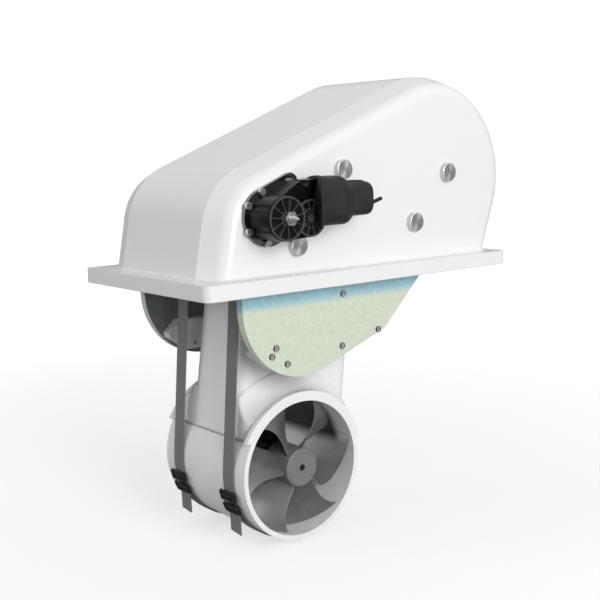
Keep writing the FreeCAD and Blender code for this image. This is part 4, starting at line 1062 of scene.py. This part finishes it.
def floor_material(lift):
    """Pale floor: it takes shadows, and for the camera it is lifted to the white of the backdrop.

    The lift grows with the distance from the object, where the lamps reach less.
    """
    material = bpy.data.materials.new("floor")
    material.use_nodes = True
    tree = material.node_tree
    tree.nodes.clear()
    place = add_node(tree, "ShaderNodeTexCoord", {}).outputs["Object"]
    away = add_node(tree, "ShaderNodeVectorMath", {0: place}, operation="LENGTH").outputs["Value"]
    growth = {"Value": away, "From Min": LIFT_SPAN[0], "From Max": LIFT_SPAN[1],
              "To Min": lift, "To Max": lift + LIFT_GROWTH}
    level = add_node(tree, "ShaderNodeMapRange", growth).outputs["Result"]
    seen = add_node(tree, "ShaderNodeLightPath", {}).outputs["Is Camera Ray"]
    strength = add_node(tree, "ShaderNodeMath", {0: seen, 1: level}, operation="MULTIPLY").outputs[0]
    glow = add_node(tree, "ShaderNodeEmission", {"Strength": strength}).outputs[0]
    plain = add_node(tree, "ShaderNodeBsdfDiffuse", {"Color": FLOOR_COLOUR}).outputs[0]
    both = add_node(tree, "ShaderNodeAddShader", {0: plain, 1: glow}).outputs[0]
    add_node(tree, "ShaderNodeOutputMaterial", {"Surface": both})
    return material


def add_floor(lift):
    """A wide floor just below the lowest solid."""
    level = solid_box[0][2] - FLOOR_GAP
    corners = [(-1, -1), (1, -1), (1, 1), (-1, 1)]
    mesh = bpy.data.meshes.new("floor")
    mesh.from_pydata([(x * FLOOR_REACH, y * FLOOR_REACH, level) for x, y in corners], [], [(0, 1, 2, 3)])
    mesh.materials.append(floor_material(lift))
    add_object("floor", mesh)


def soft_lamp(name, power, place, aim, size):
    """A large square lamp that faces a point."""
    data = bpy.data.lights.new(name, "AREA")
    data.size = size
    data.energy = power
    lamp = add_object(name, data)
    lamp.location = place
    lamp.rotation_euler = (Vector(aim) - Vector(place)).to_track_quat("-Z", "Y").to_euler()


def add_camera(scene):
    """The camera: it looks back along its azimuth and elevation, rolled about its own line."""
    data = bpy.data.cameras.new("camera")
    data.lens = CAMERA_LENS
    data.sensor_width = CAMERA_SENSOR
    data.clip_start = CAMERA_CLIP
    camera = add_object("camera", data)
    camera.location = CAMERA_PLACE
    away = Vector((math.sin(CAMERA_AZIMUTH) * math.cos(CAMERA_ELEVATION),
                   -math.cos(CAMERA_AZIMUTH) * math.cos(CAMERA_ELEVATION), math.sin(CAMERA_ELEVATION)))
    facing = (-away).to_track_quat("-Z", "Y").to_matrix()
    camera.rotation_euler = (facing @ Matrix.Rotation(CAMERA_ROLL, 3, "Z")).to_euler()
    scene.camera = camera


class THRUSTER_OT_stage(bpy.types.Operator):
    """Make the floor, the soft lights and the camera"""

    bl_idname = "thruster.stage"
    bl_label = "Stage"

    def execute(self, context):
        scene = context.scene
        sizes = scene.thruster_sizes
        add_floor(sizes.floor_lift)
        studio_world(scene, sizes.sky_level)
        soft_lamp("key", sizes.key_power, *KEY_LAMP)
        soft_lamp("side", sizes.side_power, *SIDE_LAMP)
        add_camera(scene)
        scene.view_settings.view_transform = "Standard"
        return {"FINISHED"}


class THRUSTER_PT_panel(bpy.types.Panel):
    """The thruster's operators and values"""

    bl_label = "Bow thruster"
    bl_space_type = "VIEW_3D"
    bl_region_type = "UI"
    bl_category = "Thruster"

    def draw(self, context):
        for operator in OPERATORS:
            self.layout.operator(operator.bl_idname)
        for group in (context.scene.thruster_colours, context.scene.thruster_sizes):
            for name in group.__annotations__:
                self.layout.prop(group, name)


OPERATORS = (THRUSTER_OT_stage, THRUSTER_OT_finishes, THRUSTER_OT_straps, THRUSTER_OT_buckles,
             THRUSTER_OT_case, THRUSTER_OT_motor, THRUSTER_OT_seam, THRUSTER_OT_propeller)
CLASSES = (ThrusterColours, ThrusterSizes, *OPERATORS, THRUSTER_PT_panel)


def register():
    """Register the classes and hang the values on the scene."""
    for kind in CLASSES:
        bpy.utils.register_class(kind)
    bpy.types.Scene.thruster_colours = PointerProperty(type=ThrusterColours)
    bpy.types.Scene.thruster_sizes = PointerProperty(type=ThrusterSizes)


def unregister():
    """Take the values and classes away again."""
    del bpy.types.Scene.thruster_sizes
    del bpy.types.Scene.thruster_colours
    for kind in reversed(CLASSES):
        bpy.utils.unregister_class(kind)


def main():
    """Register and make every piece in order."""
    register()
    for operator in OPERATORS:
        area, name = operator.bl_idname.split(".")
        getattr(getattr(bpy.ops, area), name)()


if __name__ == "__main__":
    main()
